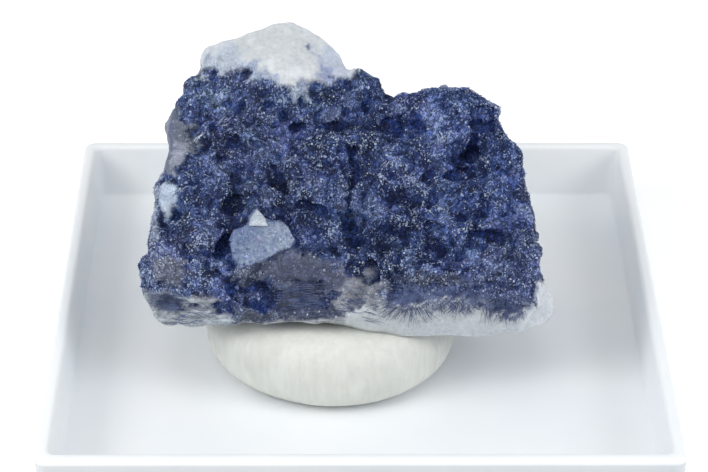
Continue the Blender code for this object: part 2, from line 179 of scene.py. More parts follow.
@dataclass(frozen=True)
class PictureCamera:
    """The camera, with its place in millimetres and its turns in degrees."""

    focal_points: float = 2676.1
    place: tuple[float, float, float] = (-1.86, -194.65, 128.72)
    pitch: float = 31.12
    yaw: float = -0.43
    roll: float = 0.19
    sensor_width: float = 36.0

    def axes(self) -> tuple[Vector, Vector, Vector]:
        """Return the directions that are right, up and ahead in the picture."""
        pitch, roll = math.radians(self.pitch), math.radians(self.roll)
        turn = Matrix.Rotation(math.radians(self.yaw), 3, "Z")
        right = turn @ Vector((1.0, 0.0, 0.0))
        up = turn @ Vector((0.0, math.sin(pitch), math.cos(pitch)))
        ahead = turn @ Vector((0.0, math.cos(pitch), -math.sin(pitch)))
        rolled_right = math.cos(roll) * right + math.sin(roll) * up
        rolled_up = math.cos(roll) * up - math.sin(roll) * right
        return rolled_right, rolled_up, ahead

    def spots(self, places: np.ndarray) -> np.ndarray:
        """Return the picture points at which places, in millimetres, show."""
        right, up, ahead = (np.array(axis) for axis in self.axes())
        away = places - np.array(self.place)
        scale = self.focal_points / (away @ ahead)
        return np.column_stack(
            (PICTURE_WIDTH / 2 + scale * (away @ right), PICTURE_HEIGHT / 2 - scale * (away @ up))
        )

    def facing(self, places: np.ndarray, normals: np.ndarray) -> np.ndarray:
        """Return the cosine between each place's normal and the way to the camera."""
        toward = np.array(self.place) - places
        return (normals * toward).sum(axis=1) / np.linalg.norm(toward, axis=1)

    def ray(self, spot: Spot) -> tuple[Vector, Vector]:
        """Return where a picture point's line of sight starts, in millimetres, and its direction."""
        right, up, ahead = self.axes()
        across, down = spot[0] - PICTURE_WIDTH / 2, spot[1] - PICTURE_HEIGHT / 2
        return Vector(self.place), (self.focal_points * ahead + across * right - down * up).normalized()

    def build(self) -> bpy.types.Object:
        """Make the camera and look through it."""
        lens = bpy.data.cameras.new("picture_camera")
        lens.sensor_width = self.sensor_width
        lens.lens = self.focal_points * self.sensor_width / PICTURE_WIDTH
        lens.clip_start = 0.01
        camera = bpy.data.objects.new("picture_camera", lens)
        bpy.context.scene.collection.objects.link(camera)
        right, up, ahead = self.axes()
        turn = Matrix((right, up, -ahead)).transposed().to_4x4()
        camera.matrix_world = Matrix.Translation(MM * Vector(self.place)) @ turn
        bpy.context.scene.camera = camera
        return camera


CAMERA = PictureCamera()


class Wiring:
    """Adds nodes to a tree and joins their sockets."""

    def __init__(self, tree: bpy.types.NodeTree) -> None:
        """Take the tree to add to."""
        self.tree = tree

    def feed(self, socket: bpy.types.NodeSocket, value: object) -> None:
        """Join an output to a socket, or write a fixed value on it."""
        if isinstance(value, bpy.types.NodeSocket):
            self.tree.links.new(value, socket)
        else:
            socket.default_value = value

    def node(self, kind: str, inputs: dict[str | int, object] | None = None, **settings: object) -> bpy.types.Node:
        """Add a node.

        Args:
            kind: The node's type.
            inputs: Values or outputs for its sockets, by name or by place.
            **settings: Values for its properties.

        Returns:
            The new node.
        """
        made = self.tree.nodes.new(kind)
        for name, value in settings.items():
            setattr(made, name, value)
        for name, value in (inputs or {}).items():
            self.feed(made.inputs[name], value)
        return made

    def math(self, operation: str, *values: object, clamp: bool = False) -> bpy.types.NodeSocket:
        """Add a Math node over the given values and return its output."""
        return self.node("ShaderNodeMath", dict(enumerate(values)), operation=operation, use_clamp=clamp).outputs[0]

    def vector(self, operation: str, first: object, second: object) -> bpy.types.NodeSocket:
        """Add a Vector Math node over two vectors and return its vector output."""
        return self.node("ShaderNodeVectorMath", {0: first, 1: second}, operation=operation).outputs[0]

    def scaled(self, vector: object, factor: object) -> bpy.types.NodeSocket:
        """Add a Vector Math node that scales a vector and return its output."""
        made = self.node("ShaderNodeVectorMath", {0: vector}, operation="SCALE")
        self.feed(made.inputs["Scale"], factor)
        return made.outputs[0]

    def blend(self, share: object, first: object, second: object, mode: str = "MIX") -> bpy.types.NodeSocket:
        """Mix two colours by a share and return the result."""
        first, second = (
            (*value, 1.0) if isinstance(value, tuple) and len(value) == 3 else value for value in (first, second)
        )
        made = self.node("ShaderNodeMix", {0: share, 6: first, 7: second}, data_type="RGBA", blend_type=mode)
        return made.outputs[2]

    def span(self, value: object, low: float, high: float, to_low: float, to_high: float) -> bpy.types.NodeSocket:
        """Map a value from one span to another, clamped, and return the result."""
        inputs = {"Value": value, "From Min": low, "From Max": high, "To Min": to_low, "To Max": to_high}
        return self.node("ShaderNodeMapRange", inputs).outputs[0]

    def grain(self, where: object, scale: float, detail: float = 3.0, rough: float = 0.5) -> bpy.types.NodeSocket:
        """Add a noise texture read at a vector and return its value, about 0 to 1."""
        inputs = {"Vector": where, "Scale": scale, "Detail": detail, "Roughness": rough}
        return self.node("ShaderNodeTexNoise", inputs).outputs[0]

    def stretched(self, where: object, factors: tuple[float, float, float]) -> bpy.types.NodeSocket:
        """Scale a vector by one factor for each axis and return the result."""
        return self.node("ShaderNodeMapping", {"Vector": where, "Scale": factors}).outputs[0]


class Finish:
    """A surface finish: a material with its Principled shader and the wiring to dress it."""

    def __init__(self, name: str) -> None:
        """Start a material of this name."""
        self.material = bpy.data.materials.new(name)
        self.material.use_nodes = True
        self.wiring = Wiring(self.material.node_tree)
        self.shader = self.material.node_tree.nodes["Principled BSDF"]
        self.where = self.wiring.node("ShaderNodeTexCoord").outputs["Object"]

    def trait(self, trait: Trait) -> bpy.types.NodeSocket:
        """Return a trait written on the mesh: its colour if it is the tint, else its value."""
        made = self.wiring.node("ShaderNodeAttribute", attribute_name=trait.value)
        return made.outputs["Color" if trait is Trait.TINT else "Fac"]

    def sunk(self, colour: object, amount: object, painted_shade_navy: Colour) -> bpy.types.NodeSocket:
        """Paint shade into a colour where the surface lies deep, darkening it toward navy, and return the result."""
        return self.wiring.blend(amount, colour, self.wiring.vector("MULTIPLY", colour, painted_shade_navy))

    def clumps(self) -> bpy.types.NodeSocket:
        """Return a level about 1 that swells over clumps of crystals, alike on the skin and on its crystals."""
        return self.wiring.span(self.wiring.grain(self.where, 1150.0, 3.0, 0.6), 0.34, 0.66, 0.6, 1.42)

    def set(self, **sockets: object) -> None:
        """Set sockets of the shader, named with underscores for spaces."""
        for name, value in sockets.items():
            self.wiring.feed(self.shader.inputs[name.replace("_", " ")], value)

    def bump(self, height: object, strength: float, distance: float) -> None:
        """Give the surface a fine relief.

        Args:
            height: The output that is read as height, 0 to 1.
            strength: How much of the relief shows.
            distance: Height of the relief in metres.
        """
        made = self.wiring.node("ShaderNodeBump", {"Height": height, "Strength": strength, "Distance": distance})
        self.wiring.feed(self.shader.inputs["Normal"], made.outputs[0])


@dataclass(frozen=True)
class BoxPlastic:
    """White moulded plastic: faintly uneven gloss and colour, a little dust-fine relief, and outer walls darkened by
    painted shade.
    """

    colour: Colour = paint(241, 243, 245)
    shade: Colour = paint(235, 239, 243)
    # The share of colour kept on the outer walls below the rim: a painted shade.
    outer: float = 0.70
    outer_from: float = 0.02508
    rim_level: float = 0.0059
    roughness: float = 0.34

    def painted_outer_shade(self, finish: Finish) -> bpy.types.NodeSocket:
        """Return the share of colour that stays: painted shade makes it less on the outer walls below the rim."""
        wiring = finish.wiring
        parts = wiring.node("ShaderNodeSeparateXYZ", {"Vector": finish.where}).outputs
        across, along = (wiring.math("ABSOLUTE", parts[axis]) for axis in (0, 1))
        out = wiring.span(wiring.math("MAXIMUM", across, along), self.outer_from, self.outer_from + 0.0001, 0.0, 1.0)
        low = wiring.span(parts[2], self.rim_level, self.rim_level - 0.0003, 0.0, 1.0)
        return wiring.span(wiring.math("MULTIPLY", out, low), 0.0, 1.0, 1.0, self.outer)

    def material(self) -> bpy.types.Material:
        """Return the finish as a material."""
        finish = Finish("white_plastic_moulded")
        wiring = finish.wiring
        swell = wiring.grain(finish.where, 90.0, 2.0)
        fine = wiring.grain(finish.where, 2600.0, 2.0)
        # The base colour carries the painted shade of the outer walls.
        finish.set(
            Base_Color=wiring.scaled(
                wiring.blend(wiring.span(swell, 0.35, 0.65, 0.0, 1.0), self.colour, self.shade), self.painted_outer_shade(finish)
            ),
            Roughness=wiring.span(fine, 0.3, 0.7, self.roughness - 0.06, self.roughness + 0.08),
            IOR=1.49,
            Subsurface_Weight=0.5,
            Subsurface_Radius=(0.0018, 0.0018, 0.0018),
            Subsurface_Scale=1.0,
        )
        finish.bump(fine, 0.08, 0.00002)
        return finish.material


@dataclass(frozen=True)
class PuttySkin:
    """Off-white putty: matte, smeared by fingers, with a few specks of dust pressed in."""

    colour: Colour = paint(225, 226, 220)
    smear: Colour = paint(206, 207, 198)
    speck: Colour = paint(150, 146, 134)

    def material(self) -> bpy.types.Material:
        """Return the finish as a material."""
        finish = Finish("putty_pressed")
        wiring = finish.wiring
        smeared = wiring.grain(wiring.stretched(finish.where, (1.0, 1.0, 0.22)), 1500.0, 4.0, 0.6)
        patchy = wiring.grain(finish.where, 320.0, 3.0)
        dust = wiring.node("ShaderNodeTexVoronoi", {"Vector": finish.where, "Scale": 420.0})
        rare = wiring.math("LESS_THAN", dust.outputs["Distance"], 0.055)
        chosen = wiring.math("GREATER_THAN", patchy, 0.56)
        colour = wiring.blend(wiring.span(smeared, 0.4, 0.7, 0.0, 0.55), self.colour, self.smear)
        colour = wiring.blend(wiring.span(patchy, 0.45, 0.7, 0.0, 0.5), colour, self.smear)
        colour = wiring.blend(wiring.math("MULTIPLY", rare, chosen), colour, self.speck)
        finish.set(
            Base_Color=colour,
            Roughness=wiring.span(smeared, 0.3, 0.7, 0.62, 0.8),
            Subsurface_Weight=0.2,
            Subsurface_Radius=(0.0010, 0.0009, 0.0007),
            Subsurface_Scale=1.0,
        )
        height = wiring.math("ADD", smeared, wiring.math("MULTIPLY", patchy, 1.5))
        finish.bump(height, 0.35, 0.00012)
        return finish.material


@dataclass(frozen=True)
class StoneSkin:
    """The stone under its crystals: gritty and dark between the blue grains, darkened by painted shade in its hollows,
    with painted glints on the crust, milky and smooth on the bare quartz.
    """

    frost: Colour = paint(226, 229, 233)
    glint: Colour = paint(152, 163, 184)
    # The navy that painted shade darkens the hollows toward.
    painted_shade_navy: Colour = (0.20, 0.32, 0.54)
    crust_roughness: float = 0.7
    quartz_roughness: float = 0.32
    grit_scale: float = 7600.0

    def grit(self, finish: Finish) -> bpy.types.NodeSocket:
        """Return a random level for each tiny grain of the crust, in irregular flakes and short fibres."""
        wiring = finish.wiring
        swirl = wiring.node("ShaderNodeTexNoise", {"Vector": finish.where, "Scale": 1400.0, "Detail": 2.0}).outputs["Color"]
        pulled = wiring.vector("ADD", finish.where, wiring.scaled(swirl, 0.0008))
        flakes = wiring.node(
            "ShaderNodeTexVoronoi", {"Vector": wiring.stretched(pulled, (1.0, 0.75, 0.6)), "Scale": self.grit_scale}
        )
        return wiring.node("ShaderNodeSeparateColor", {0: flakes.outputs["Color"]}).outputs[0]

    def material(self) -> bpy.types.Material:
        """Return the finish as a material."""
        finish = Finish("stone_skin")
        wiring = finish.wiring
        crust, clear = finish.trait(Trait.CRUST), finish.trait(Trait.CLEAR)
        streak, hollow = finish.trait(Trait.STREAK), finish.trait(Trait.HOLLOW)
        cloud = wiring.grain(finish.where, 520.0, 6.0, 0.68)
        fine = wiring.grain(finish.where, 2600.0, 3.0, 0.6)
        fibres = wiring.grain(wiring.stretched(finish.where, (0.16, 1.0, 1.0)), 3600.0, 4.0, 0.7)
        grit = self.grit(finish)
        milky = wiring.math("MULTIPLY", wiring.span(cloud, 0.5, 0.68, 0.0, 0.55), clear)
        colour = wiring.blend(milky, finish.trait(Trait.TINT), self.frost)
        uneven = wiring.math("SUBTRACT", wiring.span(fine, 0.3, 0.7, 0.75, 1.2), 1.0)
        shade = wiring.math("MULTIPLY_ADD", uneven, wiring.span(clear, 0.0, 1.0, 1.0, 0.38), 1.0)
        striped = wiring.math("MULTIPLY_ADD", wiring.span(fibres, 0.35, 0.65, -0.62, 0.5), streak, 1.0)
        shade = wiring.math("MULTIPLY", shade, striped)
        gritty = wiring.math("SUBTRACT", wiring.math("MULTIPLY_ADD", wiring.math("POWER", grit, 2.0), 1.5, 0.28), 1.0)
        shade = wiring.math("MULTIPLY", shade, wiring.math("MULTIPLY_ADD", gritty, crust, 1.0))
        clumped = wiring.math("SUBTRACT", finish.clumps(), 1.0)
        shade = wiring.math("MULTIPLY", shade, wiring.math("MULTIPLY_ADD", clumped, crust, 1.0))
        # Painted shade: the crust darkens toward navy in its hollows.
        sunk = wiring.math("MULTIPLY", hollow, wiring.span(crust, 0.1, 1.0, 0.12, 1.0))
        colour = finish.sunk(wiring.scaled(colour, shade), sunk, self.painted_shade_navy)
        # Painted glints: pale flecks on the crust, fewer in the hollows.
        sparkle = wiring.math("MULTIPLY_ADD", finish.trait(Trait.FROST), 0.22, grit)
        sparkle = wiring.math("MULTIPLY", wiring.span(sparkle, 0.86, 1.08, 0.0, 0.9), crust)
        sparkle = wiring.math("MULTIPLY", sparkle, wiring.span(hollow, 0.1, 0.6, 1.0, 0.1))
        colour = wiring.blend(sparkle, colour, self.glint)
        rough = wiring.span(crust, 0.0, 1.0, self.quartz_roughness, self.crust_roughness)
        finish.set(
            Base_Color=colour,
            Roughness=wiring.math("ADD", rough, wiring.span(fine, 0.3, 0.7, -0.08, 0.1)),
            IOR=1.5,
            Specular_IOR_Level=0.16,
            Subsurface_Weight=wiring.math("MULTIPLY", clear, 0.85),
            Subsurface_Radius=(0.0016, 0.0017, 0.0019),
            Subsurface_Scale=1.0,
        )
        fine = wiring.math("MULTIPLY", fine, wiring.span(clear, 0.0, 1.0, 1.0, 0.25))
        relief = wiring.math("MULTIPLY_ADD", wiring.math("MULTIPLY", fibres, streak), 2.5, fine)
        relief = wiring.math("MULTIPLY_ADD", wiring.math("MULTIPLY", grit, crust), 1.2, relief)
        finish.bump(relief, 0.5, 0.00006)
        return finish.material


@dataclass(frozen=True)
class CrystalSkin:
    """Small glassy crystals that take the stone's tint, each a shade of its own, lighter on ridges by a painted
    highlight and darker in hollows by painted shade; some are frosty, their paleness partly their own and partly
    painted glints.
    """

    frosty: Colour = paint(178, 190, 210)
    violet: Colour = (1.22, 0.90, 1.06)
    slate: Colour = (0.98, 1.19, 0.83)
    # The navy that painted shade darkens the hollows toward.
    painted_shade_navy: Colour = (0.17, 0.29, 0.50)
    frosty_from: float = 0.79

    def material(self) -> bpy.types.Material:
        """Return the finish as a material."""
        finish = Finish("crystal_skin")
        wiring = finish.wiring
        tone, hollow = finish.trait(Trait.TONE), finish.trait(Trait.HOLLOW)
        swell = wiring.grain(finish.where, 330.0, 2.0)
        colour = finish.trait(Trait.TINT)
        colour = wiring.blend(
            wiring.span(swell, 0.5, 0.66, 0.0, 1.0), colour, wiring.vector("MULTIPLY", colour, self.violet)
        )
        colour = wiring.blend(
            wiring.span(swell, 0.46, 0.34, 0.0, 1.0), colour, wiring.vector("MULTIPLY", colour, self.slate)
        )
        shade = wiring.math("MULTIPLY", wiring.span(tone, 0.0, self.frosty_from, 0.34, 1.5), finish.clumps())
        # Painted highlight on the ridges, then painted shade toward navy in the hollows.
        shade = wiring.math("MULTIPLY", shade, wiring.span(finish.trait(Trait.RIDGE), 0.0, 1.0, 1.0, 1.45))
        colour = finish.sunk(wiring.scaled(colour, shade), hollow, self.painted_shade_navy)
        # Frosty paleness, partly the grains' own colour and partly painted glints: more on ridges, less in hollows.
        frosted = wiring.math("MULTIPLY_ADD", finish.trait(Trait.FROST), 0.46, tone)
        frosted = wiring.math("MULTIPLY_ADD", finish.trait(Trait.RIDGE), 0.10, frosted)
        pale = wiring.span(frosted, self.frosty_from, 1.2, 0.0, 0.92)
        pale = wiring.math("MULTIPLY", pale, wiring.span(hollow, 0.1, 0.7, 1.0, 0.15))
        colour = wiring.blend(pale, colour, self.frosty)
        finish.set(
            Base_Color=colour,
            Roughness=wiring.span(tone, 0.0, 1.0, 0.42, 0.16),
            IOR=1.5,
            Specular_IOR_Level=0.26,
        )
        return finish.material


@dataclass(frozen=True)
class PaleCrystal:
    """The larger crystals on the face: quartz, clouded and tinted by the blue beneath."""

    name: str
    left: Colour
    right: Colour
    ends: tuple[float, float]
    see_through: float
    grain_scale: float = 5200.0
    grain_depth: float = 0.22

    def material(self) -> bpy.types.Material:
        """Return the finish as a material."""
        finish = Finish(self.name)
        wiring = finish.wiring
        cloud = wiring.grain(finish.where, 1100.0, 4.0, 0.6)
        fine = wiring.grain(finish.where, self.grain_scale, 3.0)
        across = wiring.node("ShaderNodeSeparateXYZ", {0: finish.where}).outputs[0]
        across = wiring.math("ADD", wiring.span(across, MM * self.ends[0], MM * self.ends[1], 0.0, 1.0),
                             wiring.span(cloud, 0.3, 0.7, -0.5, 0.5), clamp=True)
        shade = wiring.span(fine, 0.3, 0.7, 1.0 - self.grain_depth, 1.0 + self.grain_depth)
        finish.set(
            Base_Color=wiring.scaled(wiring.blend(across, self.left, self.right), shade),
            Roughness=wiring.span(fine, 0.3, 0.7, 0.18, 0.42),
            IOR=1.54,
            Transmission_Weight=self.see_through,
            Subsurface_Weight=0.25,
            Subsurface_Radius=(0.0009, 0.0010, 0.0012),
            Subsurface_Scale=1.0,
            Coat_Weight=0.3,
            Coat_Roughness=0.1,
        )
        finish.bump(fine, 0.35, 0.00004)
        return finish.material


@dataclass(frozen=True)
class StudioPaper:
    """The pale paper that everything stands on."""

    colour: Colour = (0.90, 0.91, 0.92)

    def material(self) -> bpy.types.Material:
        """Return the finish as a material."""
        finish = Finish("studio_paper")
        fibre = finish.wiring.grain(finish.where, 60.0, 2.0)
        lighter = tuple(min(1.0, level * 1.03) for level in self.colour)
        finish.set(
            Base_Color=finish.wiring.blend(fibre, self.colour, lighter),
            Roughness=0.9,
            Emission_Color=(1.0, 1.0, 1.0, 1.0),
            Emission_Strength=0.22,
        )
        return finish.material


class NodeTool:
    """A geometry-node tree with named inputs, run on an object to give a plain mesh."""

    def __init__(self, name: str, sockets: dict[str, str]) -> None:
        """Start a tree.

        Args:
            name: The tree's name.
            sockets: Name and socket type of each input after the geometry.
        """
        self.tree = bpy.data.node_groups.new(name, "GeometryNodeTree")
        self.tree.interface.new_socket("Geometry", in_out="INPUT", socket_type="NodeSocketGeometry")
        for socket, kind in sockets.items():
            self.tree.interface.new_socket(socket, in_out="INPUT", socket_type=kind)
        self.tree.interface.new_socket("Geometry", in_out="OUTPUT", socket_type="NodeSocketGeometry")
        self.wiring = Wiring(self.tree)
        self.given = self.tree.nodes.new("NodeGroupInput").outputs

    def named(self, trait: Trait, kind: str = "FLOAT") -> bpy.types.NodeSocket:
        """Return a trait of the stone's skin as a field."""
        made = self.wiring.node("GeometryNodeInputNamedAttribute", {"Name": trait.value}, data_type=kind)
        return made.outputs["Attribute"]

    def end(self, geometry: bpy.types.NodeSocket) -> None:
        """Close the tree: make all instances real, give them their material and send them out."""
        real = self.wiring.node("GeometryNodeRealizeInstances", {"Geometry": geometry}).outputs[0]
        inputs = {"Geometry": real, "Material": self.given["Material"]}
        dressed = self.wiring.node("GeometryNodeSetMaterial", inputs).outputs[0]
        self.wiring.node("NodeGroupOutput", {"Geometry": dressed})

    def run(self, carrier: bpy.types.Object, **values: object) -> bpy.types.Mesh:
        """Run the tree on a carrier and return what it makes as a plain mesh.

        Args:
            carrier: The object whose mesh the tree starts from.
            **values: The inputs' values, named with underscores for spaces.

        Returns:
            The finished mesh; the modifier is gone again.
        """
        modifier = carrier.modifiers.new("tool", "NODES")
        modifier.node_group = self.tree
        for item in self.tree.interface.items_tree:
            name = item.name.replace(" ", "_")
            if item.item_type == "SOCKET" and item.in_out == "INPUT" and name in values:
                modifier[item.identifier] = values[name]
        mesh = evaluated_mesh(carrier)
        carrier.modifiers.remove(modifier)
        return mesh


def evaluated_mesh(carrier: bpy.types.Object) -> bpy.types.Mesh:
    """Return a copy of a carrier's mesh with its modifiers applied and its attributes kept."""
    graph = bpy.context.evaluated_depsgraph_get()
    graph.update()
    return bpy.data.meshes.new_from_object(
        carrier.evaluated_get(graph), preserve_all_data_layers=True, depsgraph=graph
    )


def linked(name: str, mesh: bpy.types.Mesh) -> bpy.types.Object:
    """Put a mesh in the scene as a named object at the origin."""
    mesh.name = name
    placed = bpy.data.objects.new(name, mesh)
    bpy.context.scene.collection.objects.link(placed)
    return placed


def discard(*helpers: bpy.types.Object) -> None:
    """Remove helper objects from the file."""
    for helper in helpers:
        bpy.data.objects.remove(helper, do_unlink=True)


def set_piece(piece: bpy.types.Object, slot: str, node: str) -> bpy.types.Object:
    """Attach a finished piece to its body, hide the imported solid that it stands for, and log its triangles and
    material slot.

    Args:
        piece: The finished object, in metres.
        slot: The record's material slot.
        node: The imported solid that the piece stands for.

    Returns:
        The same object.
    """
    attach(piece, BODY)
    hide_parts(node)
    triangles = sum(len(polygon.vertices) - 2 for polygon in piece.data.polygons)
    LOG.info("%s: %d triangles, %s", piece.name, triangles, slot)
    return piece


def coordinates(mesh: bpy.types.Mesh) -> np.ndarray:
    """Return a mesh's vertex positions as rows."""
    places = np.empty(len(mesh.vertices) * 3)
    mesh.vertices.foreach_get("co", places)
    return places.reshape(-1, 3)


def directions(mesh: bpy.types.Mesh) -> np.ndarray:
    """Return a mesh's vertex normals as rows."""
    normals = np.empty(len(mesh.vertices) * 3)
    mesh.vertices.foreach_get("normal", normals)
    return normals.reshape(-1, 3)


def move_vertices(mesh: bpy.types.Mesh, places: np.ndarray) -> None:
    """Write new vertex positions into a mesh."""
    mesh.vertices.foreach_set("co", places.ravel())
    mesh.update()


def write_trait(mesh: bpy.types.Mesh, trait: Trait, values: np.ndarray) -> None:
    """Write a trait on a mesh's vertices, as a colour or as a value."""
    coloured = values.ndim == 2
    kind, key = ("FLOAT_COLOR", "color") if coloured else ("FLOAT", "value")
    existing = mesh.attributes.get(trait.value)
    layer = existing or mesh.attributes.new(trait.value, kind, "POINT")
    if coloured:
        values = np.column_stack((values, np.ones(len(values))))
    layer.data.foreach_set(key, values.astype(np.float32).ravel())


def neighbour_mean(mesh: bpy.types.Mesh, values: np.ndarray, rounds: int) -> np.ndarray:
    """Average values over neighbouring vertices, again and again.

    Args:
        mesh: The mesh whose edges join the neighbours.
        values: One row for each vertex.
        rounds: How many times to average.

    Returns:
        The averaged rows.
    """
    ends = np.empty(len(mesh.edges) * 2, dtype=np.int32)
    mesh.edges.foreach_get("vertices", ends)
    ends = ends.reshape(-1, 2)
    starts, goals = np.concatenate((ends[:, 0], ends[:, 1])), np.concatenate((ends[:, 1], ends[:, 0]))
    count = len(mesh.vertices)
    degree = np.maximum(np.bincount(starts, minlength=count), 1)[:, None]
    for _ in range(rounds):
        totals = [np.bincount(starts, values[goals, axis], count) for axis in range(values.shape[1])]
        values = 0.5 * values + 0.5 * np.column_stack(totals) / degree
    return values


def rounded_square(half: float, radius: float, height: float, steps: int) -> list[Vector]:
    """Return a ring of points round a square with rounded corners.

    Args:
        half: Half the square's width.
        radius: Radius of its corners.
        height: Height of the ring.
        steps: Steps round each corner.

    Returns:
        The points in order.
    """
    ring = []
    for corner in range(4):
        turn = math.radians(90.0 * corner)
        middle = Matrix.Rotation(turn, 3, "Z") @ Vector((half - radius, half - radius, height))
        for step in range(steps + 1):
            angle = turn + math.radians(90.0) * step / steps
            ring.append(middle + radius * Vector((math.cos(angle), math.sin(angle), 0.0)))
    return ring


def lofted(name: str, rings: list[list[Vector]], smooth: bool = True) -> bpy.types.Mesh:
    """Build a closed skin through rings of points, capped at both ends, and scale it to metres.

    Args:
        name: The mesh's name.
        rings: Rings of the same count, from one end to the other.
        smooth: Whether its faces are shaded smooth.

    Returns:
        The mesh, in metres.
    """
    shape = bmesh.new()
    made = [[shape.verts.new(MM * point) for point in ring] for ring in rings]
    for near, far in zip(made, made[1:]):
        for place in range(len(near)):
            after = (place + 1) % len(near)
            shape.faces.new((near[place], near[after], far[after], far[place]))
    for ring in (made[0], made[-1]):
        shape.faces.new(ring)
    bmesh.ops.recalc_face_normals(shape, faces=shape.faces)
    for face in shape.faces:
        face.smooth = smooth
    mesh = bpy.data.meshes.new(name)
    shape.to_mesh(mesh)
    shape.free()
    return mesh


@dataclass
class BoxBase:
    """The lidless base of the display box: a floor, four drafted walls and softly rounded rims."""

    width: float = 51.0
    height: float = 6.2
    wall: float = 1.1
    floor: float = 1.2
    draft: float = 0.3
    outer_corner: float = 0.9
    inner_corner: float = 0.7
    rim_round: float = 0.38
    foot_round: float = 0.3
    fillet: float = 0.3
    steps: int = 10
    finish: BoxPlastic = field(default_factory=BoxPlastic)

    def quarter(self, edge: float, level: float, radius: float, start: float, count: int = 5) -> list[tuple[float, float]]:
        """Return a quarter circle of the wall's section.

        Args:
            edge: Half width at the circle's centre.
            level: Height of the circle's centre.
            radius: The circle's radius.
            start: Angle in degrees at which it starts.
            count: Number of its points.

        Returns:
            Half width and height of each point.
        """
        angles = [math.radians(start + 90.0 * step / (count - 1)) for step in range(count)]
        return [(edge + radius * math.cos(angle), level + radius * math.sin(angle)) for angle in angles]

    def section(self) -> list[tuple[float, float]]:
        """Return the wall's section, half width and height, from the underside over the rim to the floor."""
        half, inner = self.width / 2, self.width / 2 - self.wall
        foot = self.quarter(half - self.draft - self.foot_round, self.foot_round, self.foot_round, -90.0)
        top = self.height - self.rim_round
        outside = self.quarter(half - self.rim_round, top, self.rim_round, 0.0)
        inside = self.quarter(inner + self.rim_round, top, self.rim_round, 90.0)
        bottom = self.quarter(inner - self.draft - self.fillet, self.floor + self.fillet, self.fillet, 0.0)
        hollow = [(edge, 2.0 * (self.floor + self.fillet) - level) for edge, level in bottom]
        return foot + outside + inside + hollow

    def build(self) -> bpy.types.Object:
        """Build the box base and dress it."""
        rings = []
        middle = self.width / 2 - self.wall / 2
        for edge, level in self.section():
            corner = self.outer_corner if edge > middle else self.inner_corner
            rings.append(rounded_square(edge, corner, level, self.steps))
        tray = linked("box_base", lofted("box_base", rings))
        tray.data.materials.append(self.finish.material())
        tray.data.set_sharp_from_angle(angle=math.radians(50.0))
        return set_piece(tray, "white_plastic", "display_tray")


@dataclass
class PuttyPad:
    """The ball of putty pressed flat between the stone and the box's floor."""

    centre: tuple[float, float] = (-2.3, -1.8)
    radius: float = 10.75
    foot: float = 1.18
    crown: float = 7.55
    squareness: float = 2.7
    wave: float = 0.28
    turns: int = 160
    rows: int = 44
    finish: PuttySkin = field(default_factory=PuttySkin)

    def point(self, angle: float, climb: float) -> Vector:
        """Return a point of the pad's skin.

        Args:
            angle: Angle round the pad in radians.
            climb: Height from -1 at its foot to 1 at its crown.

        Returns:
            The point in millimetres.
        """
        rise = (self.crown - self.foot) / 2
        reach = max(0.0, 1.0 - abs(climb) ** self.squareness) ** (1.0 / self.squareness)
        radius = self.radius - rise * (1.0 - reach)
        around = Vector((math.cos(angle), math.sin(angle), 0.0))
        radius += self.wave * noise.noise(around * 1.4 + Vector((0.0, 0.0, climb * 0.8)))
        radius += 0.10 * noise.noise(around * 5.0 + Vector((3.0, 0.0, climb * 2.2))) * reach
        radius += 0.03 * noise.noise(around * 17.0 + Vector((0.0, 5.0, climb * 1.2))) * reach
        height = self.foot + rise * (1.0 + climb)
        return Vector((self.centre[0], self.centre[1], height)) + radius * around

    def build(self) -> bpy.types.Object:
        """Build the pad and dress it."""
        climbs = [-math.cos(math.pi * row / self.rows) for row in range(self.rows + 1)]
        rings = [[self.point(math.tau * turn / self.turns, climb) for turn in range(self.turns)] for climb in climbs]
        pad = linked("putty_pad", lofted("putty_pad", rings))
        pad.data.set_sharp_from_angle(angle=math.radians(70.0))
        pad.data.materials.append(self.finish.material())
        return set_piece(pad, "putty", "mineral_tack")


@dataclass(frozen=True)
class Patch:
    """A part of the stone's face with a look of its own, outlined in picture points."""

    outline: tuple[Spot, ...]
    colour: Colour | None = None
    crust: float | None = None
    clear: float | None = None
    streak: float | None = None
    # How frosted the crust's grains are: partly their own paleness and partly painted glints.
    frost: float | None = None
    edge: float = 5.0
    wander: float = 5.0


@dataclass(frozen=True)
class Dent:
    """A pit or gap in the crust, in picture points: from one spot to another, half width, and depth in mm."""

    start: Spot
    end: Spot
    half_width: float
    depth: float


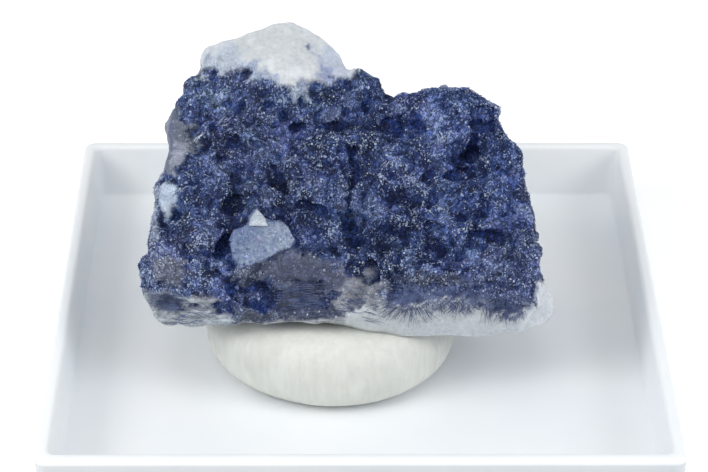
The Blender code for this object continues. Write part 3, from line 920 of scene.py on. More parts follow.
PATCHES = {
    "cap_bloom": Patch(
        (
            (190, 60), (250, 62), (275, 76), (300, 86), (330, 74), (350, 70), (350, 92), (318, 96), (306, 112),
            (288, 108), (262, 92), (196, 82),
        ),
        frost=0.25, edge=4.0, wander=7.0,
    ),
    "milky_cap": Patch(
        (
            (196, 69), (216, 68), (233, 66), (245, 68), (256, 73), (267, 78), (277, 81), (287, 84), (294, 89),
            (302, 92), (307, 86), (316, 82), (328, 77), (342, 74), (356, 66), (330, 5), (180, 5), (180, 66),
        ),
        paint(198, 201, 204), crust=0.0, clear=1.0, streak=0.04, edge=7.5, wander=8.0,
    ),
    "cap_fringe": Patch(
        ((200, 62), (213, 53), (238, 57), (262, 68), (282, 80), (296, 84), (268, 84), (236, 68), (200, 70)),
        paint(162, 173, 195), crust=0.3, clear=0.6, frost=0.8, edge=8.0, wander=10.0,
    ),
    "cap_tip_haze": Patch(
        ((284, 84), (300, 80), (312, 84), (308, 98), (294, 98)), paint(156, 166, 190), crust=0.4, clear=0.5, edge=7.0,
        wander=9.0,
    ),
    "cap_left_haze": Patch(
        ((198, 56), (222, 42), (240, 50), (246, 66), (200, 72)), paint(180, 188, 200), edge=13.0, wander=12.0,
    ),
    "cap_right_haze": Patch(
        ((312, 48), (340, 52), (354, 64), (348, 78), (330, 76), (314, 66)), paint(184, 191, 205), crust=0.0, clear=0.8,
        edge=9.0, wander=10.0,
    ),
    "cap_smudge": Patch(
        ((314, 66), (321, 63), (333, 70), (336, 78), (322, 78)), paint(146, 155, 184), crust=0.12, clear=0.5, edge=6.0, wander=9.0,
    ),
    "cap_speck": Patch(((305, 44), (309, 43), (312, 47), (309, 50)), paint(104, 112, 148), clear=0.6, edge=2.5, wander=3.0),
    "cap_speck_tail": Patch(((311, 48), (318, 52), (321, 58), (313, 54)), paint(160, 168, 194), edge=4.0, wander=4.0),
    "left_face": Patch(
        (
            (173, 106), (181, 112), (189, 118), (194, 127), (197, 138), (193, 147), (183, 158), (172, 168),
            (150, 168), (150, 106),
        ),
        paint(103, 111, 126), crust=0.22, clear=0.3, streak=0.4, edge=8.0, wander=11.0,
    ),
    "left_face_band": Patch(
        ((160, 110), (170, 108), (173, 126), (172, 148), (168, 166), (158, 168)), paint(98, 102, 126), crust=0.1, edge=5.0,
    ),
    "left_face_foot": Patch(
        ((170, 146), (185, 145), (186, 154), (176, 166), (170, 166)), paint(146, 150, 166), crust=0.15, clear=0.4, edge=8.0, wander=9.0,
    ),
    "left_face_streaks": Patch(
        ((186, 124), (202, 120), (208, 132), (194, 150), (184, 148)), crust=0.75, frost=0.6, edge=6.0, wander=8.0,
    ),
    "left_rim": Patch(
        ((148, 185), (160, 185), (157, 210), (157, 235), (146, 250)),
        paint(132, 143, 164), crust=0.5, clear=0.3, streak=0.2, frost=0.6, edge=6.0,
    ),
    "left_patch": Patch(
        ((160, 178), (171, 181), (178, 191), (173, 201), (176, 211), (168, 217), (162, 207), (157, 196)),
        paint(184, 197, 215), crust=0.3, clear=0.6, frost=1.0, edge=5.5, wander=4.0,
    ),
    "tan_lobe": Patch(
        ((154, 256), (165, 250), (180, 256), (187, 272), (184, 287), (168, 290), (156, 280), (150, 268)),
        paint(106, 110, 128), crust=0.6, clear=0.15, streak=0.5, frost=0.3, edge=10.0, wander=12.0,
    ),
    "left_lobe_frost": Patch(
        ((138, 262), (152, 240), (170, 232), (200, 262), (216, 280), (205, 296), (160, 296), (140, 284)),
        frost=0.45, edge=7.0,
    ),
    "low_left_quartz": Patch(
        (
            (130, 298), (150, 297), (180, 299), (207, 303), (218, 313), (234, 322), (240, 335), (150, 335), (130, 320),
        ),
        paint(164, 171, 178), crust=0.1, clear=0.4, streak=0.9, edge=7.0, wander=10.0,
    ),
    "low_left_streaks": Patch(
        ((140, 292), (164, 294), (184, 298), (184, 306), (166, 308), (148, 304)),
        paint(122, 129, 145), crust=0.1, clear=0.3, streak=1.0, edge=5.0, wander=9.0,
    ),
    "grey_facet": Patch(
        (
            (262, 261), (278, 254), (293, 249), (308, 253), (324, 260), (344, 268), (352, 290), (326, 294),
            (321, 283), (307, 282), (295, 284), (283, 287), (274, 283), (262, 281), (240, 284), (231, 281), (227, 272), (240, 266),
        ),
        paint(84, 89, 111), crust=0.35, clear=0.15, streak=0.3, frost=0.1, edge=8.0, wander=10.0,
    ),
    "facet_sparkle": Patch(
        ((231, 268), (245, 262), (264, 266), (262, 280), (240, 284)), crust=0.6, frost=0.8, edge=4.0, wander=6.0,
    ),
    "striped_recess": Patch(
        ((277, 287), (306, 282), (321, 284), (321, 299), (309, 309), (270, 311), (282, 297)),
        paint(56, 61, 82), crust=0.1, clear=0.1, streak=0.9, edge=5.0,
    ),
    "blue_grey_foot": Patch(
        ((228, 309), (270, 311), (310, 308), (345, 303), (345, 330), (236, 330)), paint(82, 89, 112), crust=0.45, clear=0.2, streak=0.8,
    ),
    "beige_patch": Patch(
        (
            (344, 276), (364, 277), (378, 284), (388, 290), (394, 298), (390, 305), (376, 307), (360, 312), (340, 308),
            (336, 290),
        ),
        paint(136, 139, 149), crust=0.2, clear=0.6, streak=0.5, frost=0.3, edge=13.0, wander=13.0,
    ),
    "brown_band": Patch(
        ((392, 275), (414, 274), (440, 275), (470, 277), (494, 280), (496, 286), (470, 287), (440, 287), (398, 285)),
        paint(66, 72, 96), crust=0.75, clear=0.1, streak=0.6, edge=6.0, wander=8.0,
    ),
    "pale_base": Patch(
        (
            (330, 322), (350, 312), (372, 306), (392, 303), (404, 305), (415, 303), (425, 300), (437, 298), (450, 297),
            (462, 299), (475, 304), (488, 305), (498, 309), (509, 314), (520, 308), (528, 302), (535, 292), (541, 283),
            (560, 280), (565, 345), (330, 345),
        ),
        paint(198, 203, 207), crust=0.0, clear=0.9, streak=0.03, edge=8.5, wander=9.0,
    ),
    "foot_rim": Patch(
        ((262, 322), (300, 319), (345, 317), (345, 340), (262, 340)), paint(166, 170, 174), crust=0.0, clear=0.5, edge=2.5,
    ),
    "feather_fringe": Patch(
        (
            (380, 296), (404, 300), (420, 306), (432, 300), (452, 297), (474, 304), (494, 308), (512, 316),
            (528, 306), (520, 300), (470, 294), (420, 292),
        ),
        paint(108, 118, 148), crust=0.45, clear=0.4, streak=0.3, edge=6.0, wander=11.0,
    ),
    "tuft_core": Patch(
        ((388, 287), (404, 284), (424, 284), (430, 295), (415, 306), (401, 303), (388, 297)), paint(44, 56, 98), crust=0.8,
        clear=0.1, edge=6.0, wander=9.0,
    ),
    "low_fringe_core": Patch(
        ((430, 286), (494, 289), (526, 292), (522, 306), (508, 312), (480, 300), (436, 297)),
        paint(62, 74, 116), crust=0.85, clear=0.1, edge=6.0, wander=9.0,
    ),
    "low_right_frost": Patch(
        ((486, 240), (545, 230), (545, 300), (500, 310), (470, 290)), paint(69, 81, 122), frost=0.25, edge=10.0, wander=9.0,
    ),
    "base_end": Patch(
        ((539, 282), (562, 276), (562, 332), (526, 332), (533, 308)), paint(206, 210, 215), crust=0.0, clear=0.9, edge=8.0,
        wander=7.0,
    ),
    "tablet_bed": Patch(
        ((229, 240), (233, 234), (248, 225), (248, 216), (256, 208), (266, 217), (283, 225), (293, 236), (294, 244), (278, 252), (264, 261), (241, 268), (233, 257)),
        paint(120, 132, 166), crust=0.0, edge=1.5, wander=0.0,
    ),
    "left_glints": Patch(((206, 134), (214, 122), (232, 118), (236, 128), (218, 138)), frost=0.9, crust=1.0, wander=6.0),
    "left_slope_frost": Patch(((176, 140), (196, 108), (240, 96), (250, 150), (236, 190), (180, 190)), frost=0.15, edge=8.0, wander=9.0),
    "ledge_frost": Patch(((290, 136), (345, 132), (388, 134), (386, 150), (340, 148), (292, 150)), frost=0.4, edge=4.0, wander=7.0),
    "right_glints": Patch(((436, 128), (452, 126), (458, 142), (438, 142)), frost=0.6, edge=4.0, wander=6.0),
    "middle_glints": Patch(((384, 136), (398, 160), (424, 176), (432, 196), (404, 186), (380, 164)), frost=0.45, edge=5.0, wander=8.0),
    "pit_lip_frost": Patch(((186, 232), (218, 232), (216, 250), (188, 250)), frost=0.7, edge=4.0, wander=8.0),
    "low_ledge_frost": Patch(((352, 252), (420, 236), (436, 268), (400, 282), (352, 276)), frost=0.35, edge=7.0, wander=9.0),
    "knob_frost": Patch(((484, 98), (504, 106), (504, 130), (490, 128)), frost=0.6, edge=4.0),
}

DENTS = (
    Dent((228, 207), (243, 210), 5.0, 0.75), Dent((226, 239), (219, 251), 3.0, 0.6), Dent((268, 174), (283, 188), 2.4, 0.35),
    Dent((173, 212), (177, 217), 3.5, 0.4), Dent((481, 121), (491, 127), 4.5, 0.95), Dent((478, 140), (474, 166), 3.5, 0.6),
    Dent((470, 170), (446, 178), 3.5, 0.6), Dent((442, 178), (426, 174), 3.0, 0.45), Dent((292, 127), (342, 129), 3.5, 0.55),
    Dent((388, 124), (416, 124), 2.5, 0.4), Dent((352, 150), (353, 172), 2.5, 0.55), Dent((351, 180), (349, 212), 2.2, 0.45),
    Dent((349, 224), (356, 240), 5.0, 0.55), Dent((364, 104), (367, 115), 2.8, 0.4), Dent((405, 236), (413, 242), 2.6, 0.4),
    Dent((427, 224), (440, 230), 2.8, 0.4), Dent((429, 246), (440, 252), 3.0, 0.45), Dent((458, 216), (466, 220), 2.6, 0.4),
    Dent((336, 246), (341, 255), 3.0, 0.4), Dent((205, 119), (213, 127), 3.0, 0.35), Dent((264, 106), (286, 121), 3.5, 0.3),
    Dent((250, 137), (261, 146), 3.0, 0.35), Dent((230, 288), (252, 288), 3.0, 0.2), Dent((254, 287), (272, 291), 3.0, 0.2),
    Dent((198, 158), (224, 161), 2.6, 0.35), Dent((206, 263), (215, 270), 3.0, 0.3), Dent((302, 206), (326, 211), 3.0, 0.3),
    Dent((384, 201), (416, 203), 2.6, 0.3), Dent((434, 263), (466, 266), 2.6, 0.3), Dent((473, 233), (498, 237), 2.6, 0.35),
    Dent((386, 173), (399, 179), 2.6, 0.3), Dent((236, 300), (262, 306), 3.0, 0.12), Dent((284, 283), (318, 284), 2.5, 0.35),
)


@dataclass(frozen=True)
class Nudge:
    """A push of the skin across the picture, in picture points: where, how far and over what reach."""

    spot: Spot
    push: Spot
    reach: float


NUDGES = (
    Nudge((218, 46), (-2, -8), 14), Nudge((186, 88), (-5, -6), 15), Nudge((143, 250), (5, 0), 14),
    Nudge((149, 292), (-4, 3), 11), Nudge((163, 318), (-7, 9), 13), Nudge((496, 112), (4, -4), 9),
    Nudge((372, 332), (0, 3), 18), Nudge((402, 336), (0, 5), 20), Nudge((430, 336), (0, 4), 20),
    Nudge((460, 334), (0, 5), 20), Nudge((490, 332), (0, 6), 20), Nudge((520, 324), (1, 8), 18),
    Nudge((546, 312), (3, 9), 14), Nudge((524, 172), (3, 0), 16), Nudge((540, 250), (2, 0), 16),
)


@dataclass(frozen=True)
class Glow:
    """A paler stretch of the crust, in picture points: its middle, its reach, its gain and the grey laid over it."""

    spot: Spot
    reach: float
    gain: float
    veil: float = 0.0


GLOWS = (
    Glow((250, 112), 60, 0.24, 0.020), Glow((425, 112), 50, 0.24, 0.008), Glow((182, 278), 42, 0.36, 0.024),
    Glow((186, 236), 26, 0.12, 0.010), Glow((508, 272), 30, 0.25), Glow((250, 298), 24, 0.55, 0.034),
    Glow((262, 182), 45, -0.20),
)


@dataclass
class StoneBody:
    """The stone itself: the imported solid, remeshed finely, with its relief, its colours and its hollows."""

    voxel: float = 0.2
    rounding: int = 3
    lump_cell: float = 2.7
    lump_rise: float = 0.38
    knob_cell: float = 1.15
    knob_rise: float = 0.44
    grain_cell: float = 0.48
    grain_rise: float = 0.15
    settle: float = 0.85
    wave_cell: float = 1.6
    wave_rise: float = 0.14
    dent_wander: float = 5.0
    fray: float = 0.5
    bare_back: float = 0.04
    crease: float = 4.5
    basin: float = 1.2
    points_per_mm: float = 11.96
    deep: Colour = paint(29, 44, 84)
    middle: Colour = paint(56, 72, 119)
    light: Colour = paint(92, 106, 146)
    paler_right: float = 0.22
    veil_tone: Colour = (1.0, 1.0, 0.85)
    back_quartz: Colour = paint(182, 185, 189)
    stained_quartz: Colour = paint(112, 124, 156)
    finish: StoneSkin = field(default_factory=StoneSkin)

    def skin(self) -> bpy.types.Object:
        """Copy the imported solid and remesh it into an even, fine skin, in millimetres."""
        source = frame["nodes"]["dumortierite_specimen"]
        shape = bmesh.new()
        shape.from_mesh(source.data)
        bmesh.ops.remove_doubles(shape, verts=shape.verts, dist=1e-6)
        bmesh.ops.scale(shape, vec=(1 / MM,) * 3, verts=shape.verts)
        mesh = bpy.data.meshes.new("stone_rough")
        shape.to_mesh(mesh)
        shape.free()
        rough = linked("stone_rough", mesh)
        modifier = rough.modifiers.new("remesh", "REMESH")
        modifier.mode = "VOXEL"
        modifier.voxel_size = self.voxel
        fine = evaluated_mesh(rough)
        discard(rough)
        move_vertices(fine, neighbour_mean(fine, coordinates(fine), self.rounding))
        return linked("stone_body", fine)

    def dented(self, mesh: bpy.types.Mesh) -> None:
        """Press the gaps and pits that the picture shows into the skin, along the line of sight."""
        places, normals = coordinates(mesh), directions(mesh)
        front = smooth_step(0.1, 0.45, CAMERA.facing(places, normals))
        spots = wandered(CAMERA.spots(places), places, 1.6, self.dent_wander)
        ragged = 1.0 + 0.55 * noise_values(places, 0.8, 4.0) + 0.45 * noise_values(places, 1.7, 15.0)
        pressed = np.zeros(len(places))
        for dent in DENTS:
            start, run = np.array(dent.start, dtype=float), np.subtract(dent.end, dent.start).astype(float)
            along = np.clip((spots - start) @ run / (run @ run), 0.0, 1.0)
            off = ragged * np.linalg.norm(spots - start - along[:, None] * run, axis=1) / dent.half_width
            pressed = np.maximum(pressed, dent.depth * np.exp(-(off ** 2)))
        ahead = np.array(CAMERA.axes()[2])
        move_vertices(mesh, places + (pressed * front)[:, None] * ahead)

    def nudged(self, mesh: bpy.types.Mesh) -> None:
        """Push the skin's edges to where the picture shows them."""
        places = coordinates(mesh)
        spots = CAMERA.spots(places)
        across, up, _ = (np.array(axis) for axis in CAMERA.axes())
        moves = np.zeros_like(places)
        for nudge in NUDGES:
            off = np.linalg.norm(spots - np.array(nudge.spot), axis=1) / nudge.reach
            right, down = nudge.push
            moves += np.exp(-(off ** 2))[:, None] * (across * right - up * down) / self.points_per_mm
        move_vertices(mesh, places + moves)

    def bare_quartz(self, places: np.ndarray, normals: np.ndarray, facing: np.ndarray) -> np.ndarray:
        """Return how bare of crust each point is: the underside, most of the back and all of the cap.

        Args:
            places: The skin's points in millimetres.
            normals: Their normals.
            facing: How much each faces the camera.

        Returns:
            A share for each point, from 0 for crust to 1 for bare quartz.
        """
        swell = noise_values(places, 5.5, 3.0) + 0.35 * noise_values(places, 1.6, 5.0)
        torn = swell + 0.45 * noise_values(places, 0.7, 2.0) + 0.3 * noise_values(places, 0.35, 8.0)
        turned = smooth_step(0.0, -0.3, facing)
        behind = smooth_step(0.1, 0.62, normals[:, 1] + 0.5 * torn + self.bare_back) * turned
        under = smooth_step(-0.35, -0.8, normals[:, 2] + 0.3 * torn)
        spots = CAMERA.spots(places)
        in_cap = smooth_step(80.0, 66.0, spots[:, 1] + 6.0 * swell) * smooth_step(352.0, 342.0, spots[:, 0])
        in_cap = in_cap * smooth_step(0.2, -0.05, facing)
        return np.maximum(np.maximum(behind, under), in_cap)

    def quartz_tint(self, stain: np.ndarray) -> np.ndarray:
        """Return the bare quartz's tint, bluer where it is stained."""
        clean, stained = np.array(self.back_quartz), np.array(self.stained_quartz)
        return clean + (stained - clean) * stain[:, None]

    def paint_skin(self, mesh: bpy.types.Mesh) -> None:
        """Write the tint, the crust, the clearness and the streaks on the skin."""
        places, normals = coordinates(mesh), directions(mesh)
        facing = CAMERA.facing(places, normals)
        mood = noise_values(places, 2.6) + 0.6 * noise_values(places, 1.0, 7.0)
        lift = smooth_step(-0.55, 0.75, mood)[:, None]
        tint = np.where(
            lift < 0.5,
            np.array(self.deep) + (np.array(self.middle) - np.array(self.deep)) * lift * 2.0,
            np.array(self.middle) + (np.array(self.light) - np.array(self.middle)) * (lift * 2.0 - 1.0),
        )
        tint = tint * (1.0 + self.paler_right * smooth_step(-1.0, 9.0, places[:, 0]))[:, None]
        spots = CAMERA.spots(places)
        for glow in GLOWS:
            share = np.exp(-(np.linalg.norm(spots - np.array(glow.spot), axis=1) / glow.reach) ** 2)[:, None]
            tint = tint * (1.0 + glow.gain * share) + glow.veil * share * np.array(self.veil_tone)
        bare = self.bare_quartz(places, neighbour_mean(mesh, normals, 30), facing)
        stain = noise_values(places, 3.2, 13.0) + 0.7 * noise_values(places, 0.9, 14.0)
        quartz = self.quartz_tint(smooth_step(-0.2, 0.9, stain + 0.8 * (1.0 - bare)))
        looks = {
            Trait.TINT: tint + (quartz - tint) * bare[:, None],
            Trait.CRUST: 1.0 - bare,
            Trait.CLEAR: 0.6 * bare,
            Trait.STREAK: 0.1 * bare,
            Trait.FROST: smooth_step(0.0, 0.8, noise_values(places, 1.5, 9.0) + 0.8 * noise_values(places, 0.6, 6.0)) * 0.6,
        }
        torn = noise_values(places, 0.6, 2.0) + 0.6 * noise_values(places, 0.3, 8.0)
        shown = smooth_step(-0.12, 0.12, facing)
        for patch in PATCHES.values():
            moved = wandered(spots, places, 1.0, patch.wander)
            share = smooth_step(-patch.edge, patch.edge, depth_inside(moved, patch.outline))
            share = smooth_step(0.12, 0.88, share + self.fray * torn * 4.0 * share * (1.0 - share)) * shown
            wanted = {
                Trait.TINT: patch.colour, Trait.CRUST: patch.crust, Trait.CLEAR: patch.clear,
                Trait.STREAK: patch.streak, Trait.FROST: patch.frost,
            }
            for trait, value in wanted.items():
                if value is not None:
                    weight = share[:, None] if trait is Trait.TINT else share
                    looks[trait] = looks[trait] + (np.array(value) - looks[trait]) * weight
        for trait, values in looks.items():
            write_trait(mesh, trait, values)

    def relief(self) -> NodeTool:
        """Return the tool that raises lumps, knobs and grain on the crust and soft waves on the quartz."""
        kinds = ("Lump", "Knob", "Grain")
        sizes = [f"{kind} {size}" for kind in (*kinds, "Wave") for size in ("Cell", "Rise")] + ["Settle"]
        sockets = {size: "NodeSocketFloat" for size in sizes}
        tool = NodeTool("stone_relief", sockets | {"Material": "NodeSocketMaterial"})
        wiring, given = tool.wiring, tool.given
        position = wiring.node("GeometryNodeInputPosition").outputs[0]
        normal = wiring.node("GeometryNodeInputNormal").outputs[0]

        def bumps(kind: str) -> bpy.types.NodeSocket:
            """Return round-topped bumps of one kind, sunk so that their tops reach little above the skin."""
            where = wiring.scaled(position, wiring.math("DIVIDE", 1.0, given[f"{kind} Cell"]))
            inputs = {"Vector": where, "Scale": 1.0, "Smoothness": 0.22}
            near = wiring.node("ShaderNodeTexVoronoi", inputs, feature="SMOOTH_F1").outputs["Distance"]
            round_top = wiring.math("SUBTRACT", 1.0, wiring.math("POWER", wiring.math("DIVIDE", near, 0.8), 2.0))
            above = wiring.math("SUBTRACT", wiring.math("MAXIMUM", round_top, 0.0), given["Settle"])
            return wiring.math("MULTIPLY", above, given[f"{kind} Rise"])

        waves = wiring.scaled(position, wiring.math("DIVIDE", 1.0, given["Wave Cell"]))
        wave = wiring.math("SUBTRACT", wiring.grain(waves, 1.0, 4.0, 0.6), 0.5)
        crusty = bumps(kinds[0])
        for kind in kinds[1:]:
            crusty = wiring.math("ADD", crusty, bumps(kind))
        rise = wiring.math("MULTIPLY", crusty, tool.named(Trait.CRUST))
        rise = wiring.math("MULTIPLY_ADD", wave, wiring.math("MULTIPLY", given["Wave Rise"], 2.0), rise)
        moved = wiring.node(
            "GeometryNodeSetPosition", {"Geometry": given["Geometry"], "Offset": wiring.scaled(normal, rise)}
        )
        tool.end(moved.outputs[0])
        return tool

    def mark_hollows(self, mesh: bpy.types.Mesh) -> None:
        """Write how deep each vertex lies among its surroundings, which drives painted shade in hollows and a painted
        highlight on ridges, and which part of the crust it is in.
        """
        places, normals = coordinates(mesh), directions(mesh)
        near, far = neighbour_mean(mesh, places, 10), neighbour_mean(mesh, places, 90)
        sunk = self.crease * ((near - places) * normals).sum(axis=1) + self.basin * ((far - places) * normals).sum(axis=1)
        uneven = 0.35 * noise_values(places, 0.6, 12.0)
        write_trait(mesh, Trait.HOLLOW, smooth_step(0.0, 0.95, sunk + uneven * smooth_step(0.0, 0.3, sunk)))
        write_trait(mesh, Trait.RIDGE, smooth_step(0.05, 0.7, -sunk))
        facing, spots = CAMERA.facing(places, normals), CAMERA.spots(places)
        sector = np.where(spots[:, 0] < 350, Sector.FRONT_LEFT.value, Sector.FRONT_RIGHT.value)
        sector = np.where(spots[:, 1] > 228, Sector.FRONT_LOW.value, sector)
        sector = np.where(facing < 0.12, Sector.SIDES.value, sector)
        sector = np.where(normals[:, 1] > 0.55, Sector.BACK.value, sector)
        write_trait(mesh, Trait.SECTOR, sector.astype(float))

    def build(self) -> bpy.types.Object:
        """Build the stone's skin and dress it."""
        stone = self.skin()
        self.nudged(stone.data)
        self.dented(stone.data)
        self.paint_skin(stone.data)
        stone.data = self.relief().run(
            stone, Lump_Cell=self.lump_cell, Lump_Rise=self.lump_rise, Knob_Cell=self.knob_cell,
            Knob_Rise=self.knob_rise, Grain_Cell=self.grain_cell, Grain_Rise=self.grain_rise,
            Wave_Cell=self.wave_cell, Wave_Rise=self.wave_rise, Settle=self.settle, Material=self.finish.material(),
        )
        self.mark_hollows(stone.data)
        stone.data.transform(Matrix.Scale(MM, 4))
        stone.data.polygons.foreach_set("use_smooth", [True] * len(stone.data.polygons))
        stone.data.name = stone.name
        return set_piece(stone, "stone", "dumortierite_specimen")


@dataclass(frozen=True)
class Strewing:
    """One kind of crystal strewn over the skin: how close, how large, how tilted and how deep, in mm and radians."""

    name: str
    habits: tuple[Habit, ...]
    spacing: float
    smallest: float
    largest: float
    least_lean: float
    most_lean: float
    sink: float
    least_tone: float
    frost_share: float
    seed: int


@dataclass
class DrusyCrust:
    """The sparkling crust: tens of thousands of small grains and slivers of crystal grown over the stone's skin."""

    crowding: float = 120.0
    grains: Strewing = Strewing(
        "grains", (Habit.GRAIN, Habit.GRAIN, Habit.GRAIN, Habit.STOUT), 0.175, 0.12, 0.4, -0.7, 0.7, 0.45, 0.0, 0.0, 11
    )
    slivers: Strewing = Strewing(
        "slivers", (Habit.SLIVER, Habit.CHIP, Habit.CHIP), 0.155, 0.06, 0.14, 0.4, 1.5, 0.0, 0.1, 0.0, 37
    )
    glints: Strewing = Strewing(
        "glints", (Habit.CHIP, Habit.STOUT, Habit.GRAIN, Habit.CHIP), 0.21, 0.07, 0.2, 0.0, 1.5, -0.2, 1.1, 1.0, 53
    )
    dusting: Strewing = Strewing(
        "dust", (Habit.GRAIN, Habit.GRAIN, Habit.STOUT), 0.13, 0.1, 0.3, -0.9, 0.9, 0.35, 0.3, 0.0, 71
    )
    finish: CrystalSkin = field(default_factory=CrystalSkin)

    def __post_init__(self) -> None:
        """Make the growing tool and the crystals' material once."""
        self.tool, self.material = self.growth(), self.finish.material()

    def crystal(self, habit: Habit, seed: int) -> bpy.types.Object:
        """Return one crystal, a metre wide and pointed at both ends, with uneven faces.

        Args:
            habit: How long it is, and how much of it is prism.
            seed: Chooses its unevenness.

        Returns:
            The crystal as an object, standing along Z with its middle at the origin.
        """
        length, prism, sides = habit.value
        draw = np.random.default_rng(seed)
        levels = (0.0,) if prism == 0.0 else (-prism * length / 2, prism * length / 2)
        shape = bmesh.new()
        corners = [
            (0.5 * reach * math.cos(math.tau * k / sides), 0.5 * reach * math.sin(math.tau * k / sides))
            for k, reach in enumerate(1.0 + draw.uniform(-0.14, 0.14, sides))
        ]
        rings = [[shape.verts.new((*corner, level)) for corner in corners] for level in levels]
        tips = [shape.verts.new((*draw.uniform(-0.09, 0.09, 2), side * length / 2)) for side in (-1.0, 1.0)]
        for k in range(sides):
            after = (k + 1) % sides
            shape.faces.new((rings[0][after], rings[0][k], tips[0]))
            shape.faces.new((rings[-1][k], rings[-1][after], tips[1]))
            if len(rings) == 2:
                shape.faces.new((rings[0][k], rings[0][after], rings[1][after], rings[1][k]))
        bmesh.ops.recalc_face_normals(shape, faces=shape.faces)
        mesh = bpy.data.meshes.new("crystal_form")
        shape.to_mesh(mesh)
        shape.free()
        return bpy.data.objects.new(f"crystal_form_{habit.name.lower()}_{seed}", mesh)

    def forms(self, strewing: Strewing) -> bpy.types.Collection:
        """Return the collection of crystals that one strewing picks from."""
        shelf = bpy.data.collections.new(f"{strewing.name}_forms")
        bpy.context.scene.collection.children.link(shelf)
        for seed, habit in enumerate(strewing.habits):
            shelf.objects.link(self.crystal(habit, seed))
        return shelf

    def growth(self) -> NodeTool:
        """Return the tool that grows crystals over one sector of a skin."""
        sockets = {
            "Spacing": "NodeSocketFloat", "Crowding": "NodeSocketFloat", "Smallest": "NodeSocketFloat",
            "Largest": "NodeSocketFloat", "Least Lean": "NodeSocketFloat", "Most Lean": "NodeSocketFloat",
            "Sink": "NodeSocketFloat", "Least Tone": "NodeSocketFloat", "Frost Share": "NodeSocketFloat",
            "Sector": "NodeSocketInt", "Seed": "NodeSocketInt", "Forms": "NodeSocketCollection",
            "Form Count": "NodeSocketInt", "Material": "NodeSocketMaterial",
        }
        tool = NodeTool("crystal_growth", sockets)
        wiring, given = tool.wiring, tool.given
        here = wiring.math("COMPARE", tool.named(Trait.SECTOR), given["Sector"], 0.5)
        frosty = wiring.math("MULTIPLY_ADD", wiring.math("POWER", tool.named(Trait.FROST), 1.5), 0.94, -0.94)
        crowd = wiring.math("MULTIPLY", tool.named(Trait.CRUST), wiring.math("MULTIPLY_ADD", frosty, given["Frost Share"], 1.0))
        sown = wiring.node(
            "GeometryNodeDistributePointsOnFaces",
            {
                "Mesh": given["Geometry"], "Selection": here, "Distance Min": given["Spacing"],
                "Density Max": given["Crowding"], "Density Factor": crowd, "Seed": given["Seed"],
            },
            distribute_method="POISSON",
        )
        draw = wiring.node("FunctionNodeRandomValue", {"Seed": given["Seed"]}, data_type="FLOAT")
        size = wiring.math("POWER", draw.outputs[1], 2.8)
        spread = wiring.math("SUBTRACT", given["Largest"], given["Smallest"])
        size = wiring.math("MULTIPLY_ADD", size, spread, given["Smallest"])
        uneven = wiring.node(
            "FunctionNodeRandomValue", {0: (0.8, 0.8, 0.8), 1: (1.2, 1.2, 1.25), "Seed": 3}, data_type="FLOAT_VECTOR"
        ).outputs[0]
        lean_low = wiring.node("ShaderNodeCombineXYZ", {0: given["Least Lean"], 1: -0.5})
        lean_high = wiring.node("ShaderNodeCombineXYZ", {0: given["Most Lean"], 1: 0.5, 2: math.tau})
        turn = wiring.node(
            "FunctionNodeRandomValue", {0: lean_low.outputs[0], 1: lean_high.outputs[0], "Seed": 5}, data_type="FLOAT_VECTOR"
        ).outputs[0]
        turned = wiring.node(
            "FunctionNodeRotateRotation",
            {"Rotation": sown.outputs["Rotation"], "Rotate By": wiring.node("FunctionNodeEulerToRotation", {0: turn}).outputs[0]},
            rotation_space="LOCAL",
        ).outputs[0]
        down = wiring.scaled(sown.outputs["Normal"], wiring.math("MULTIPLY", wiring.math("MULTIPLY", size, given["Sink"]), -1.0))
        kept = wiring.node("GeometryNodeCaptureAttribute", {"Geometry": sown.outputs["Points"]}, domain="POINT")
        kept.capture_items.new("VECTOR", "Down")
        kept.capture_items.new("ROTATION", "Turned")
        wiring.feed(kept.inputs[1], down)
        wiring.feed(kept.inputs[2], turned)
        placed = wiring.node("GeometryNodeSetPosition", {"Geometry": kept.outputs[0], "Offset": kept.outputs[1]})
        forms = wiring.node(
            "GeometryNodeCollectionInfo", {"Collection": given["Forms"], "Separate Children": True, "Reset Children": True}
        ).outputs[0]
        last = wiring.math("SUBTRACT", given["Form Count"], 1.0)
        pick = wiring.node("FunctionNodeRandomValue", {"Seed": 9}, data_type="INT")
        pick.inputs[4].default_value = 0
        wiring.feed(pick.inputs[5], last)
        grown = wiring.node(
            "GeometryNodeInstanceOnPoints",
            {
                "Points": placed.outputs[0], "Instance": forms, "Pick Instance": True,
                "Instance Index": pick.outputs[2], "Rotation": kept.outputs[2], "Scale": wiring.scaled(uneven, size),
            },
        ).outputs[0]
        toned = wiring.node(
            "GeometryNodeStoreNamedAttribute",
            {"Geometry": grown, "Name": Trait.TONE.value}, data_type="FLOAT", domain="INSTANCE",
        )
        tone = wiring.node("FunctionNodeRandomValue", {"Seed": 21}, data_type="FLOAT")
        wiring.feed(tone.inputs[2], given["Least Tone"])
        wiring.feed(next(socket for socket in toned.inputs if socket.name == "Value" and socket.enabled), tone.outputs[1])
        tool.end(toned.outputs[0])
        return tool

